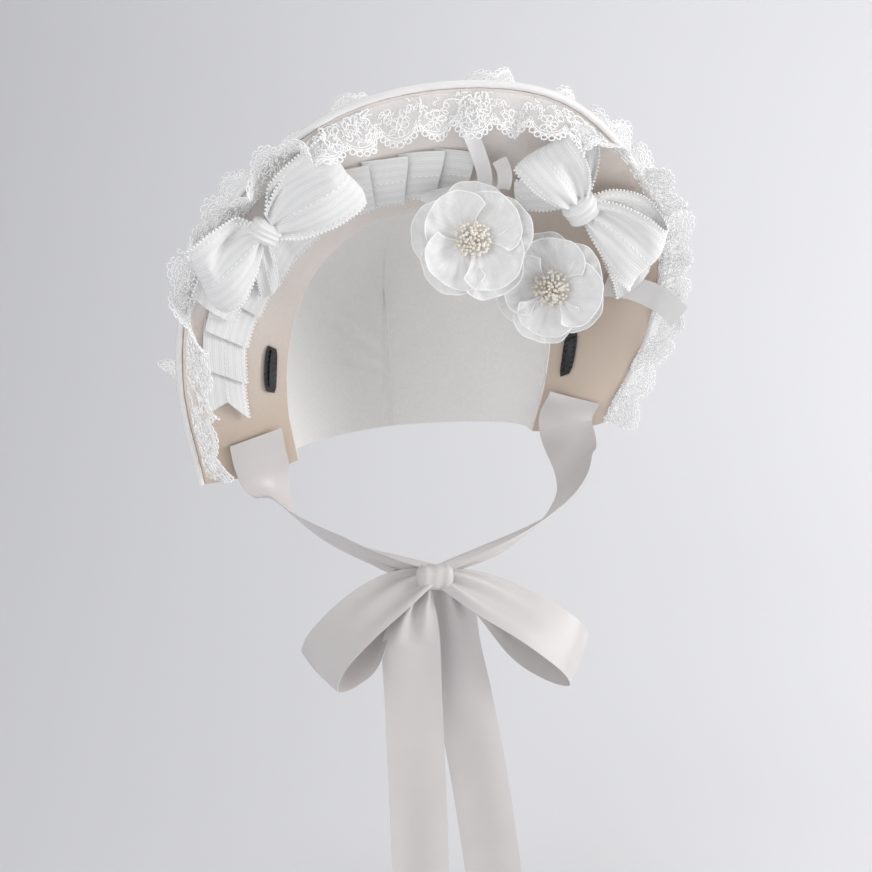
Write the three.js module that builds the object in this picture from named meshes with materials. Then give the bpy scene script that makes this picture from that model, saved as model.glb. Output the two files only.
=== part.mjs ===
// Lolita bonnet: flared brim, soft crown, two lace ruffles, pleated ribbon band, two ribbon bows, two organza flowers and satin chin ties.
// Millimetres, +Z up, the face opening looks to -Y, the origin is where the top of the head sits.
import * as THREE from "three";

// ---------- driving sizes ----------
const BRIM_THICK = 2.4, // brim cloth and stiffener
  BRIM_BOW = 4, // how far the brim's slant bows towards the face
  BRIM_START = 0.014, // the brim starts this share of its slant out from the throat seam
  BIND_R = 2.4, // rolled edge
  CROWN_THICK = 1.8,
  SHEET = 1.0, // ribbon, lace and petal wall
  LACE_BACK_H = 30,
  LACE_FRONT_H = 29,
  LACE_WAVES = 14.6,
  LACE_SAG = 22, // how far the ruffles hang down past the right end of the brim
  BAND_BASE = 1.9, // underside of the pleated band over the brim's mid surface
  PLEAT_LOW = 3.0,
  PLEAT_HIGH = 5.2,
  PLEATS = 11,
  BOW_LIFT = 18, // height of a bow's middle over the brim's mid surface
  BOW_KNOT = [7, 11, 8.5], // half sizes along, across, up
  TIE_W = 38, // satin tie ribbon
  CHIN_KNOT = [9.5, 9, 10], // half sizes
  TAIL_END_Z = -432;

// Arch rows, from the lower left end over the top to the lower right end: the throat seam and the brim edge.
const ARCH = [
  { s: -1.0, tx: -86, ty: 24, tz: -164, ex: -153, ey: 14, ez: -172 },
  { s: -0.8, tx: -93, ty: 12, tz: -122, ex: -166, ey: -16, ez: -98 },
  { s: -0.6, tx: -91, ty: -4, tz: -76, ex: -158, ey: -46, ez: -30 },
  { s: -0.4, tx: -76, ty: -20, tz: -34, ex: -122, ey: -72, ez: 28 },
  { s: -0.2, tx: -44, ty: -32, tz: -5, ex: -68, ey: -92, ez: 67 },
  { s: 0.0, tx: 0, ty: -36, tz: 4, ex: 1, ey: -98, ez: 80 },
  { s: 0.2, tx: 44, ty: -32, tz: -5, ex: 71, ey: -92, ez: 70 },
  { s: 0.4, tx: 76, ty: -20, tz: -34, ex: 124, ey: -72, ez: 31 },
  { s: 0.6, tx: 91, ty: -4, tz: -76, ex: 157, ey: -46, ez: -25 },
  { s: 0.8, tx: 92, ty: 12, tz: -120, ex: 158, ey: -16, ez: -90 },
  { s: 1.0, tx: 84, ty: 24, tz: -160, ex: 134, ey: 16, ez: -158 },
];
// How the front ruffle leans along the arch: 0 stands straight out past the edge, 180 lies back over the inner face.
const FRONT_LEAN = [
  { s: -1, deg: 112 }, { s: -0.85, deg: 110 }, { s: -0.74, deg: 106 }, { s: -0.68, deg: 75 }, { s: -0.62, deg: 10 }, { s: -0.52, deg: 8 },
  { s: -0.42, deg: 8 }, { s: -0.36, deg: 9 }, { s: -0.31, deg: 26 }, { s: -0.26, deg: 64 }, { s: -0.19, deg: 112 },
  { s: -0.12, deg: 150 }, { s: 0, deg: 157 }, { s: 0.06, deg: 150 }, { s: 0.12, deg: 145 }, { s: 0.16, deg: 112 }, { s: 0.2, deg: 96 },
  { s: 0.25, deg: 88 }, { s: 0.3, deg: 78 }, { s: 0.36, deg: 66 }, { s: 0.42, deg: 46 }, { s: 0.5, deg: 28 }, { s: 0.6, deg: 14 }, { s: 0.8, deg: 13 }, { s: 1, deg: 18 },
];
// How the back ruffle leans: 0 stands straight out past the edge, 90 straight back.
const BACK_LEAN = [
  { s: -1, deg: 112 }, { s: -0.88, deg: 110 }, { s: -0.81, deg: 100 }, { s: -0.755, deg: 72 }, { s: -0.69, deg: 104 }, { s: -0.6, deg: 80 },
  { s: -0.5, deg: 92 }, { s: -0.4, deg: 92 }, { s: -0.3, deg: 104 }, { s: -0.2, deg: 108 }, { s: -0.08, deg: 110 }, { s: 0.02, deg: 112 },
  { s: 0.09, deg: 92 }, { s: 0.18, deg: 96 }, { s: 0.25, deg: 76 }, { s: 0.32, deg: 64 }, { s: 0.4, deg: 42 }, { s: 0.5, deg: 24 },
  { s: 0.6, deg: 10 }, { s: 0.75, deg: 6 }, { s: 1, deg: 8 },
];
// The band's lower and upper border as shares of the brim's slant.
const BAND = [
  { s: -0.83, lo: 0.45, hi: 0.83 }, { s: -0.7, lo: 0.46, hi: 0.85 }, { s: -0.4, lo: 0.3, hi: 0.74 }, { s: -0.1, lo: 0.17, hi: 0.58 }, { s: 0.075, lo: 0.17, hi: 0.56 },
];
// Each bow sits at s0, v0. Loops and tails run from the knot to along, across (mm on the brim face), with a half width.
const BOWS = {
  left: {
    s0: -0.43, v0: 0.83,
    loops: [ { name: "loop_upper", along: 78, across: -18, half: 21 }, { name: "loop_lower", along: -53, across: 21, half: 20 } ],
    tails: [ { name: "tail_a", along: -64, across: 1, half: 13 }, { name: "tail_b", along: -19, across: -42, half: 8.5 } ],
  },
  right: {
    s0: 0.36, v0: 0.58,
    loops: [ { name: "loop_upper", along: -52, across: 14, half: 19 }, { name: "loop_lower", along: 69, across: 30, half: 19 } ],
    tails: [ { name: "tail_a", along: 84, across: 14, half: 12 }, { name: "tail_b", along: -46, across: -26, half: 10 } ],
  },
};
// A loop's way round, from the knot out on the face side and back underneath.
const LOOP_WAY = [
  { out: 0.0, up: 2.4, half: 0.34 }, { out: 0.25, up: 7.5, half: 0.62 }, { out: 0.6, up: 11, half: 0.9 }, { out: 0.88, up: 9, half: 1 },
  { out: 1.0, up: 2, half: 1 }, { out: 0.88, up: -4.5, half: 1 }, { out: 0.6, up: -5.5, half: 0.9 }, { out: 0.25, up: -4.6, half: 0.62 }, { out: 0.0, up: -2.4, half: 0.34 },
];
// The chin loops' way round, puffed out further.
const CHIN_WAY = [
  { out: 0.0, up: 2.4, half: 0.36 }, { out: 0.25, up: 6, half: 0.47 }, { out: 0.6, up: 12, half: 0.88 }, { out: 0.88, up: 11.5, half: 1 },
  { out: 1.0, up: 2, half: 1 }, { out: 0.88, up: -8, half: 1 }, { out: 0.6, up: -11, half: 0.88 }, { out: 0.25, up: -5, half: 0.45 }, { out: 0.0, up: -2.4, half: 0.36 },
];
// Flowers: centre, facing direction, radius, and where the stem meets the brim.
const FLOWERS = {
  upper: { at: [17.2, -77, -15.2], face: [-0.2, -0.97, 0.08], radius: 38, lobes: 6, turn: 0.3, stem: { s: 0.08, v: 0.1, from: [2, 17] } },
  lower: { at: [73.5, -57, -51], face: [-0.3, -0.95, 0.02], radius: 36, lobes: 5, turn: 0.9, stem: { s: 0.46, v: 0.14, from: [16, 10] } },
};
const STEM_R = 4;
// Narrow ribbons on the inner face: from and to as s, v and height, with a half width.
const NARROW = [
  { name: "sprig_ribbon_a", half: 5, rows: [ [0.118, 0.3, 7], [0.1, 0.42, 8], [0.075, 0.55, 8.5], [0.045, 0.69, 8] ] },
  { name: "sprig_ribbon_b", half: 5, rows: [ [0.165, 0.32, 7], [0.15, 0.43, 8.5], [0.125, 0.54, 9], [0.098, 0.65, 8.5] ] },
  { name: "ribbon_end_right", half: 7, rows: [ [0.6, 0.5, 5.5], [0.64, 0.68, 6], [0.68, 0.85, 7.5], [0.715, 1.0, 11], [0.745, 1.14, 17], [0.765, 1.22, 21] ] },
];
// Organza leaves: centre on the brim face, height, length and width, and the turn on the face in degrees.
const LEAVES = [
  { name: "organza_leaf_a", s: 0.02, v: 0.24, up: 9, long: 34, wide: 17, turn: 10 },
  { name: "organza_leaf_b", s: 0.21, v: 0.16, up: 9, long: 34, wide: 18, turn: -20 },
];
const CLIPS = [ { name: "clip_left", s: -0.71 }, { name: "clip_right", s: 0.75 } ];
const CLIP = { v: 0.2, long: 34, wide: 11, thick: 2.6, up: 3.2 };
// Chin ties: the free part of each, from the brim end to the back of the knot.
const HEAD_MID = [0, -30, -120];
const TIES = {
  left: { s: [-0.9, -0.97], v: 0.42, rows: [ [-106, 6, -186], [-94, -22, -199], [-75, -58, -208], [-54, -88, -214], [-34, -97, -219] ] },
  right: { s: [0.9, 0.97], v: 0.4, rows: [ [108, 2, -180], [94, -26, -194], [66, -60, -204], [28, -88, -211], [-15, -97, -219] ] },
};
const CHIN = [-25, -108, -223];
const CHIN_LOOPS = {
  left: { end: [-106, -113, -275], axis: [0.417, -0.765, -0.49] },
  right: { end: [66, -103, -293], axis: [-0.658, -0.49, -0.572] },
};
// Chin tails: middle line and half width.
const CHIN_TAILS = {
  left: [ [-31, -101, -236, 6], [-38, -103, -246, 12], [-43, -105, -262, 18], [-45.5, -105, -304, 19], [-46, -105, -358, 19], [-47, -105, TAIL_END_Z + 8, 19] ],
  right: [ [-21, -98, -238, 6], [-18, -97, -252, 13], [-16.5, -96, -272, 18.5], [-9, -96, -312, 19], [-1.5, -96, -366, 19], [5, -96, TAIL_END_Z, 19] ],
};

// ---------- helpers ----------
const V = (x, y, z) => new THREE.Vector3(x, y, z);
const clamp = THREE.MathUtils.clamp;
const smooth = (t) => t * t * (3 - 2 * t);
// Catmull-Rom through rows of equal step; past either end the last span carries on.
function spline(rows, t) {
  const n = rows.length - 1,
    f = clamp(t, 0, 1) * n,
    i = Math.min(Math.floor(f), n - 1),
    u = f - i,
    at = (k) => (k < 0 ? rows[0].map((x, j) => 2 * x - rows[1][j]) : k > n ? rows[n].map((x, j) => 2 * x - rows[n - 1][j]) : rows[k]),
    [a, b, c, d] = [at(i - 1), at(i), at(i + 1), at(i + 2)];
  return b.map((_, j) => 0.5 * (2 * b[j] + (c[j] - a[j]) * u + (2 * a[j] - 5 * b[j] + 4 * c[j] - d[j]) * u * u + (3 * b[j] - a[j] - 3 * c[j] + d[j]) * u ** 3));
}
// A table of named columns read at s, eased between rows.
function table(rows, s, key) {
  if (s <= rows[0].s) return rows[0][key];
  for (let i = 1; i < rows.length; i++)
    if (s <= rows[i].s) {
      const t = (s - rows[i - 1].s) / (rows[i].s - rows[i - 1].s);
      return rows[i - 1][key] + (rows[i][key] - rows[i - 1][key]) * smooth(t);
    }
  return rows[rows.length - 1][key];
}
const ARCH_ROWS = ARCH.map((r) => [r.tx, r.ty, r.tz, r.ex, r.ey, r.ez]);
function ruled(s, v) {
  const q = spline(ARCH_ROWS, (s + 1) / 2);
  return V(q[0] + (q[3] - q[0]) * v, q[1] + (q[4] - q[1]) * v, q[2] + (q[5] - q[2]) * v);
}
// The brim's directions at s, v: along the arch, out along the slant, and off the inner face.
function brimFrame(s, v) {
  const h = 1e-3,
    a = clamp(s, -1 + h, 1 - h),
    along = ruled(a + h, v).sub(ruled(a - h, v)).divideScalar(2 * h),
    out = ruled(a, v + h).sub(ruled(a, v - h)).divideScalar(2 * h),
    off = along.clone().cross(out).normalize();
  return { along, out, off };
}
function onBrim(s, v, off) {
  const w = clamp(v, 0, 1),
    f = brimFrame(s, w);
  return ruled(s, v).addScaledVector(f.off, BRIM_BOW * 4 * w * (1 - w) + off);
}
// A closed sheet from a function of u, v and side (+1 or -1), both faces and the rims between them.
function sheet(fn, nu, nv, closed = false) {
  const pos = [],
    grid = (side) => Array.from({ length: nu + 1 }, (_, i) => Array.from({ length: nv + 1 }, (_, j) => fn(closed && i === nu ? 0 : i / nu, j / nv, side))),
    A = grid(1),
    B = grid(-1),
    tri = (...p) => p.forEach((q) => pos.push(q.x, q.y, q.z)),
    quad = (a, b, c, d) => { tri(a, b, c); tri(a, c, d); };
  for (let i = 0; i < nu; i++)
    for (let j = 0; j < nv; j++) {
      quad(A[i][j], A[i + 1][j], A[i + 1][j + 1], A[i][j + 1]);
      quad(B[i][j], B[i][j + 1], B[i + 1][j + 1], B[i + 1][j]);
    }
  for (let i = 0; i < nu; i++) {
    quad(A[i][0], B[i][0], B[i + 1][0], A[i + 1][0]);
    quad(A[i][nv], A[i + 1][nv], B[i + 1][nv], B[i][nv]);
  }
  if (!closed)
    for (let j = 0; j < nv; j++) {
      quad(A[0][j], A[0][j + 1], B[0][j + 1], B[0][j]);
      quad(A[nu][j], B[nu][j], B[nu][j + 1], A[nu][j + 1]);
    }
  return facing(pos);
}
// Triangles as a geometry whose faces point out.
function facing(pos) {
  let vol = 0;
  const p = (k) => V(pos[k], pos[k + 1], pos[k + 2]);
  const out = [];
  for (let i = 0; i < pos.length; i += 9) {
    const [a, b, c] = [p(i), p(i + 3), p(i + 6)];
    if (a.distanceTo(b) < 2e-3 || b.distanceTo(c) < 2e-3 || a.distanceTo(c) < 2e-3) continue; // a fold's collapsed corner
    vol += a.dot(b.clone().cross(c));
    out.push([a, b, c]);
  }
  const flat = out.flatMap(([a, b, c]) => (vol > 0 ? [a, b, c] : [a, c, b])).flatMap((q) => [q.x, q.y, q.z]);
  const g = new THREE.BufferGeometry();
  g.setAttribute("position", new THREE.Float32BufferAttribute(flat, 3));
  g.computeVertexNormals();
  return g;
}
// A ribbon in space: rows of middle point and half-width vector.
function ribbon(rows, thick = SHEET, nv = 1) {
  const n = rows.length - 1,
    normal = rows.map((r, i) => rows[Math.min(i + 1, n)].p.clone().sub(rows[Math.max(i - 1, 0)].p).cross(r.w).normalize());
  return sheet((u, v, side) => {
    const i = Math.round(u * n);
    return rows[i].p.clone().addScaledVector(rows[i].w, 2 * v - 1).addScaledVector(normal[i], (side * thick) / 2);
  }, n, nv);
}
function roundedBlock(at, half, axes, segments = 12, rows = 8, power = 0.6) {
  const g = new THREE.SphereGeometry(1, segments, rows),
    p = g.getAttribute("position");
  for (let i = 0; i < p.count; i++) {
    const q = [p.getX(i), p.getY(i), p.getZ(i)].map((x) => Math.sign(x) * Math.abs(x) ** power),
      k = Math.hypot(...[p.getX(i), p.getY(i), p.getZ(i)]) || 1,
      r = at.clone();
    q.forEach((x, j) => r.addScaledVector(axes[j], (x / k) * half[j]));
    p.setXYZ(i, r.x, r.y, r.z);
  }
  return facing(Array.from(g.toNonIndexed().getAttribute("position").array));
}

// ---------- materials ----------
const cloth = (color, roughness) => new THREE.MeshStandardMaterial({ color, roughness, metalness: 0, side: THREE.DoubleSide });
const BRIM_CLOTH = cloth(0xe9e4dc, 0.8),
  SATIN = cloth(0xf4f1ec, 0.35),
  LACE = cloth(0xf2f1ee, 0.85),
  RIBBON = cloth(0xf1efea, 0.5),
  ORGANZA = cloth(0xf3efe8, 0.45),
  PEARL = cloth(0xf0e3c4, 0.3),
  BLACK = cloth(0x17161a, 0.4);
const group = new THREE.Group();
group.name = "lolita_bonnet";
const add = (name, geometry, material) => {
  const m = new THREE.Mesh(geometry, material);
  m.name = name;
  group.add(m);
};

// ---------- brim, binding, crown ----------
add("brim", sheet((u, v, side) => onBrim(2 * u - 1, BRIM_START + (1 - BRIM_START) * v, (side * BRIM_THICK) / 2), 40, 3), BRIM_CLOTH);
const edgeOut = (s) => {
  const f = brimFrame(s, 1);
  return { p: onBrim(s, 1, 0), out: f.out.clone().normalize(), off: f.off, along: f.along.clone().normalize() };
};
{
  // the rolled edge: a closed round rod along the edge, 0.3 mm clear of it
  const N = 40, K = 6, pos = [],
    ring = Array.from({ length: N + 1 }, (_, i) => {
      const e = edgeOut((2 * i) / N - 1), c = e.p.clone().addScaledVector(e.out, BIND_R + 0.35);
      return { c, pts: Array.from({ length: K }, (_, k) => c.clone().addScaledVector(e.out, BIND_R * Math.cos((2 * Math.PI * k) / K)).addScaledVector(e.off, BIND_R * Math.sin((2 * Math.PI * k) / K))) };
    }),
    tri = (...p) => p.forEach((q) => pos.push(q.x, q.y, q.z));
  for (let k = 0; k < K; k++) {
    const l = (k + 1) % K;
    for (let i = 0; i < N; i++) {
      tri(ring[i].pts[k], ring[i].pts[l], ring[i + 1].pts[l]);
      tri(ring[i].pts[k], ring[i + 1].pts[l], ring[i + 1].pts[k]);
    }
    tri(ring[0].c, ring[0].pts[l], ring[0].pts[k]);
    tri(ring[N].c, ring[N].pts[k], ring[N].pts[l]);
  }
  add("brim_binding", facing(pos), SATIN);
}
const CROWN_SEAM = 1.7, // clear of the brim at the throat
  CROWN_BACK = { y: 104, drop: 9, fullest: 0.45, top: -58, bottom: -160, full: 0.12 };
function crownMid(s, w) {
  const t = spline(ARCH_ROWS, (s + 1) / 2),
    a = Math.abs(s),
    th = (w * Math.PI) / 2,
    by = CROWN_BACK.y - CROWN_BACK.drop * (a - CROWN_BACK.fullest) ** 2,
    bz = CROWN_BACK.top + (CROWN_BACK.bottom - CROWN_BACK.top) * a,
    full = 1 + CROWN_BACK.full * Math.sin(2 * th);
  return V(t[0] * Math.cos(th) * full, t[1] + CROWN_SEAM + (by - t[1] - CROWN_SEAM) * Math.sin(th), bz + (t[2] - bz) * Math.cos(th) * full);
}
{
  const N = 28, M = 6;
  const normal = (s, w) => {
    if (w > 0.999) return V(0, 1, 0);
    const h = 1e-3, a = clamp(s, -1 + h, 1 - h), b = clamp(w, h, 1 - h);
    return crownMid(a, b + h).sub(crownMid(a, b - h)).cross(crownMid(a + h, b).sub(crownMid(a - h, b))).normalize();
  };
  const pos = [], tri = (...p) => p.forEach((q) => pos.push(q.x, q.y, q.z)), quad = (a, b, c, d) => { tri(a, b, c); tri(a, c, d); };
  const face = (side) => Array.from({ length: N + 1 }, (_, i) => Array.from({ length: M + 1 }, (_, j) => {
    const s = (2 * i) / N - 1, w = j / M, mirrored = j === M ? Math.abs(s) : s;
    return crownMid(mirrored, w).addScaledVector(normal(mirrored, w), (side * CROWN_THICK) / 2);
  }));
  const A = face(1), B = face(-1);
  for (let i = 0; i < N; i++) {
    for (let j = 0; j < M; j++) {
      quad(A[i][j], A[i + 1][j], A[i + 1][j + 1], A[i][j + 1]);
      quad(B[i][j], B[i][j + 1], B[i + 1][j + 1], B[i + 1][j]);
    }
    quad(A[i][0], B[i][0], B[i + 1][0], A[i + 1][0]);
  }
  for (let j = 0; j < M; j++) {
    quad(A[0][j], A[0][j + 1], B[0][j + 1], B[0][j]);
    quad(A[N][j], B[N][j], B[N][j + 1], A[N][j + 1]);
  }
  add("crown", facing(pos), BRIM_CLOTH);
}

// ---------- lace ruffles ----------
const wave = (s, k) => Math.sin(Math.PI * LACE_WAVES * s + k) * 0.75 + Math.sin(Math.PI * LACE_WAVES * 0.47 * s + 2.1 * k) * 0.25;
const sag = (s) => smooth(clamp((s - 0.8) / 0.18, 0, 1));
function laceBack(s, h, thick) {
  const e = edgeOut(clamp(s, -0.999, 0.999)),
    deg = table(BACK_LEAN, s, "deg"),
    lean = THREE.MathUtils.degToRad(deg - 14 * smooth(clamp((deg - 50) / 30, 0, 1)) * wave(s, 2.6)),
    run = h * LACE_BACK_H * (0.93 + 0.07 * wave(s, 2)),
    shake = 3 * h + 7 * h * (1 + wave(s, 0.6)) * 0.5 + thick;
  return e.p
    .addScaledVector(e.out, -6 + run * Math.cos(lean) - shake * Math.sin(lean))
    .addScaledVector(e.off, -3.2 - run * Math.sin(lean) - shake * Math.cos(lean))
    .addScaledVector(e.along, 0.7 * LACE_SAG * h * sag(s));
}
function laceFront(s, h, thick) {
  const e = edgeOut(clamp(s, -0.999, 0.999)),
    lean = THREE.MathUtils.degToRad(table(FRONT_LEAN, s, "deg")),
    run = h * LACE_FRONT_H,
    shake = 3.6 * h * h * wave(s, 1.9) + thick;
  return e.p
    .addScaledVector(e.out, -3.2 + run * Math.cos(lean) - shake * Math.sin(lean))
    .addScaledVector(e.off, 3.3 + run * Math.sin(lean) + shake * Math.cos(lean))
    .addScaledVector(e.along, LACE_SAG * h * sag(s));
}
add("lace_back", sheet((u, v, side) => laceBack((2 * u - 1) * 0.985, v, (side * SHEET) / 2), 80, 2), LACE);
add("lace_front", sheet((u, v, side) => laceFront((2 * u - 1) * 0.985, v, (side * SHEET) / 2), 80, 2), LACE);

// ---------- pleated band ----------
{
  const s0 = BAND[0].s, s1 = BAND[BAND.length - 1].s, step = (s1 - s0) / PLEATS, cols = [];
  for (let i = 0; i < PLEATS; i++) {
    const a = s0 + i * step, b = a + step, lower = (a + b) / 2 < -0.4; // the lower pleats open downwards, the upper ones to the right
    cols.push([a + 0.001, lower ? PLEAT_HIGH : PLEAT_LOW], [b - 0.001, lower ? PLEAT_LOW : PLEAT_HIGH]);
  }
  add("pleated_band", sheet((u, v, side) => {
    const [s, top] = cols[Math.round(u * (cols.length - 1))], lo = table(BAND, s, "lo"), hi = table(BAND, s, "hi");
    return onBrim(s, lo + (hi - lo) * v, side > 0 ? top : BAND_BASE);
  }, cols.length - 1, 3), RIBBON);
}

// ---------- ribbon bows on the inner face ----------
for (const [side, bow] of Object.entries(BOWS)) {
  const f = brimFrame(bow.s0, bow.v0), ls = f.along.length(), lv = f.out.length(),
    spot = (a, b, c) => onBrim(bow.s0 + a / ls, bow.v0 + b / lv, BOW_LIFT + c);
  for (const loop of bow.loops) {
    const len = Math.hypot(loop.along, loop.across), d = [loop.along / len, loop.across / len], e = [-d[1], d[0]],
      way = LOOP_WAY.map((r) => [BOW_KNOT[0] + 6 + (len - BOW_KNOT[0] - 6) * r.out, r.up, loop.half * r.half]), N = 18,
      rows = Array.from({ length: N + 1 }, (_, i) => spline(way, i / N));
    add(`bow_${side}_${loop.name}`, sheet((u, v, face) => {
      const i = Math.round(u * N), [o, up, half] = rows[i],
        p = rows[Math.max(i - 1, 0)], q = rows[Math.min(i + 1, N)], m = Math.hypot(q[0] - p[0], q[1] - p[1]),
        oo = o - (face * SHEET * (q[1] - p[1])) / m / 2, uu = up + (face * SHEET * (q[0] - p[0])) / m / 2, w = (2 * v - 1) * half;
      return spot(d[0] * oo + e[0] * w, d[1] * oo + e[1] * w, uu);
    }, N, 1), RIBBON);
  }
  for (const tail of bow.tails) {
    const len = Math.hypot(tail.along, tail.across), d = [tail.along / len, tail.across / len], e = [-d[1], d[0]], N = 5,
      start = BOW_KNOT[0] + 4.5;
    add(`bow_${side}_${tail.name}`, sheet((u, v, face) => {
      const o = start + (len - start) * u, w = (2 * v - 1) * tail.half * (0.5 + 0.5 * smooth(u));
      return spot(d[0] * o + e[0] * w, d[1] * o + e[1] * w, -8.8 - 1.2 * smooth(u) + (face * SHEET) / 2);
    }, N, 2), RIBBON);
  }
  const axes = [f.along.clone().normalize(), f.out.clone().addScaledVector(f.along, -f.out.dot(f.along) / f.along.lengthSq()).normalize(), f.off];
  add(`bow_${side}_knot`, roundedBlock(spot(0, 0, 0), BOW_KNOT, axes, 10, 6), RIBBON);
}

// ---------- flowers ----------
for (const [name, fl] of Object.entries(FLOWERS)) {
  const at = V(...fl.at), face = V(...fl.face).normalize(), side = V(0, 0, 1).cross(face).normalize().negate(), up = side.clone().cross(face).normalize();
  if (up.z < 0) up.negate();
  const put = (x, y, z) => at.clone().addScaledVector(side, x).addScaledVector(up, y).addScaledVector(face, z);
  const layer = (radius, lobes, turn, base, cup) => sheet((u, v, s) => {
    const a = 2 * Math.PI * u, lobe = Math.abs(Math.cos((lobes * a) / 2 + turn)) ** 0.6,
      r = radius * (0.1 + 0.9 * v) * (1 - 0.16 * (1 - lobe) * v);
    return put(r * Math.cos(a), r * Math.sin(a), base + cup * v * v + 2.2 * v * (1 - lobe) + (s * SHEET) / 2);
  }, 24, 2, true);
  add(`flower_${name}_petals_outer`, layer(fl.radius, fl.lobes, fl.turn, 0, 3.5), ORGANZA);
  add(`flower_${name}_petals_inner`, layer(fl.radius * 0.76, fl.lobes - 1, fl.turn + 0.5, 3, 7), ORGANZA);
  add(`flower_${name}_stamens`, roundedBlock(put(0, 0, 9), [10.5, 10.5, 4.4], [side, up, face], 12, 6, 0.8), PEARL);
  const f = brimFrame(fl.stem.s, fl.stem.v), foot = onBrim(fl.stem.s, fl.stem.v, BRIM_THICK / 2 + 0.9), head = put(...fl.stem.from, -0.9), K = 8, pos = [],
    rings = [ { c: foot, x: f.along.clone().normalize(), z: f.off }, { c: head, x: side, z: face } ].map(({ c, x, z }) => {
      const y = z.clone().cross(x).normalize();
      return { c, pts: Array.from({ length: K }, (_, k) => c.clone().addScaledVector(x, STEM_R * Math.cos((2 * Math.PI * k) / K)).addScaledVector(y, STEM_R * Math.sin((2 * Math.PI * k) / K))) };
    }), tri = (...p) => p.forEach((q) => pos.push(q.x, q.y, q.z));
  for (let k = 0; k < K; k++) {
    const l = (k + 1) % K;
    tri(rings[0].pts[k], rings[0].pts[l], rings[1].pts[l]);
    tri(rings[0].pts[k], rings[1].pts[l], rings[1].pts[k]);
    tri(rings[0].c, rings[0].pts[l], rings[0].pts[k]);
    tri(rings[1].c, rings[1].pts[k], rings[1].pts[l]);
  }
  add(`flower_${name}_stem`, facing(pos), BRIM_CLOTH);
}

// ---------- narrow ribbons, leaves, clips ----------
for (const r of NARROW) {
  const N = 3 * (r.rows.length - 1), rows = Array.from({ length: N + 1 }, (_, i) => spline(r.rows, i / N));
  add(r.name, sheet((u, v, face) => {
    const i = Math.round(u * N), [s, w, up] = rows[i], p = rows[Math.max(i - 1, 0)], q = rows[Math.min(i + 1, N)],
      f = brimFrame(clamp(s, -0.99, 0.99), clamp(w, 0, 1)), ls = f.along.length(), lv = f.out.length(),
      da = (q[0] - p[0]) * ls, db = (q[1] - p[1]) * lv, m = Math.hypot(da, db), k = (2 * v - 1) * r.half;
    return onBrim(s - (db / m) * k / ls, w + (da / m) * k / lv, up + (face * SHEET) / 2);
  }, N, 1), SATIN);
}
for (const leaf of LEAVES) {
  const f = brimFrame(leaf.s, leaf.v), ls = f.along.length(), lv = f.out.length(), c = Math.cos((leaf.turn * Math.PI) / 180), n = Math.sin((leaf.turn * Math.PI) / 180);
  add(leaf.name, sheet((u, v, face) => {
    const a = (u - 0.5) * leaf.long, b = (v - 0.5) * leaf.wide * (0.12 + 0.88 * Math.sin(Math.PI * clamp(u, 0.02, 0.98)) ** 0.8);
    return onBrim(leaf.s + (a * c - b * n) / ls, leaf.v + (a * n + b * c) / lv, leaf.up + 2 * Math.sin(Math.PI * u) + (face * SHEET) / 2);
  }, 8, 2), ORGANZA);
}
for (const clip of CLIPS) {
  const f = brimFrame(clip.s, CLIP.v), ls = f.along.length(), lv = f.out.length();
  add(clip.name, sheet((u, v, face) => {
    const a = (u - 0.5) * CLIP.long, taper = u < 0.12 || u > 0.88 ? 0.7 : 1, b = (v - 0.5) * CLIP.wide * taper;
    return onBrim(clip.s + a / ls, CLIP.v + b / lv, CLIP.up + (face * CLIP.thick) / 2);
  }, 8, 2), BLACK);
}

// ---------- chin ties and chin bow ----------
for (const [side, tie] of Object.entries(TIES)) {
  const mid = V(...HEAD_MID), sign = side === "left" ? -1 : 1,
    onFace = tie.s.map((s) => onBrim(s, tie.v, BRIM_THICK / 2 + 3)),
    way = [...onFace.map((p) => p.toArray()), ...tie.rows], N = 26,
    pts = Array.from({ length: N + 1 }, (_, i) => V(...spline(way, i / N))),
    fb = brimFrame(tie.s[1], tie.v).out.clone().normalize();
  add(`tie_${side}`, ribbon(pts.map((p, i) => {
    const t = pts[Math.min(i + 1, N)].clone().sub(pts[Math.max(i - 1, 0)]).normalize(),
      round = t.clone().cross(p.clone().sub(mid)).normalize().multiplyScalar(sign),
      k = smooth(clamp((i / N - 0.16) / 0.25, 0, 1)),
      w = fb.clone().multiplyScalar(1 - k).addScaledVector(round, k),
      half = (TIE_W / 2) * (1 - 0.6 * smooth(clamp((i / N - 0.72) / 0.28, 0, 1)));
    w.addScaledVector(t, -w.dot(t)).normalize();
    return { p, w: w.multiplyScalar(half) };
  }), SHEET, 1), SATIN);
}
const chin = V(...CHIN), X = V(1, 0, 0), Y = V(0, 1, 0), Z = V(0, 0, 1);
add("chin_bow_knot", roundedBlock(chin, CHIN_KNOT, [X, Y, Z], 12, 6), SATIN);
for (const [side, loop] of Object.entries(CHIN_LOOPS)) {
  const way = V(...loop.end).sub(chin), len = way.length(), d = way.normalize(), ax = V(...loop.axis);
  ax.addScaledVector(d, -ax.dot(d)).normalize();
  const t = d.clone().cross(ax), N = 22, start = 13.5,
    path = CHIN_WAY.map((r) => [start + (len - start) * r.out, r.up, (TIE_W / 2) * r.half]),
    rows = Array.from({ length: N + 1 }, (_, i) => spline(path, i / N)),
    flip = t.y > 0 ? -1 : 1; // the first half of the way is the side that shows
  add(`chin_loop_${side}`, ribbon(rows.map(([o, up, half]) => ({ p: chin.clone().addScaledVector(d, o).addScaledVector(t, up * flip), w: ax.clone().multiplyScalar(half) })), SHEET, 1), SATIN);
}
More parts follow.
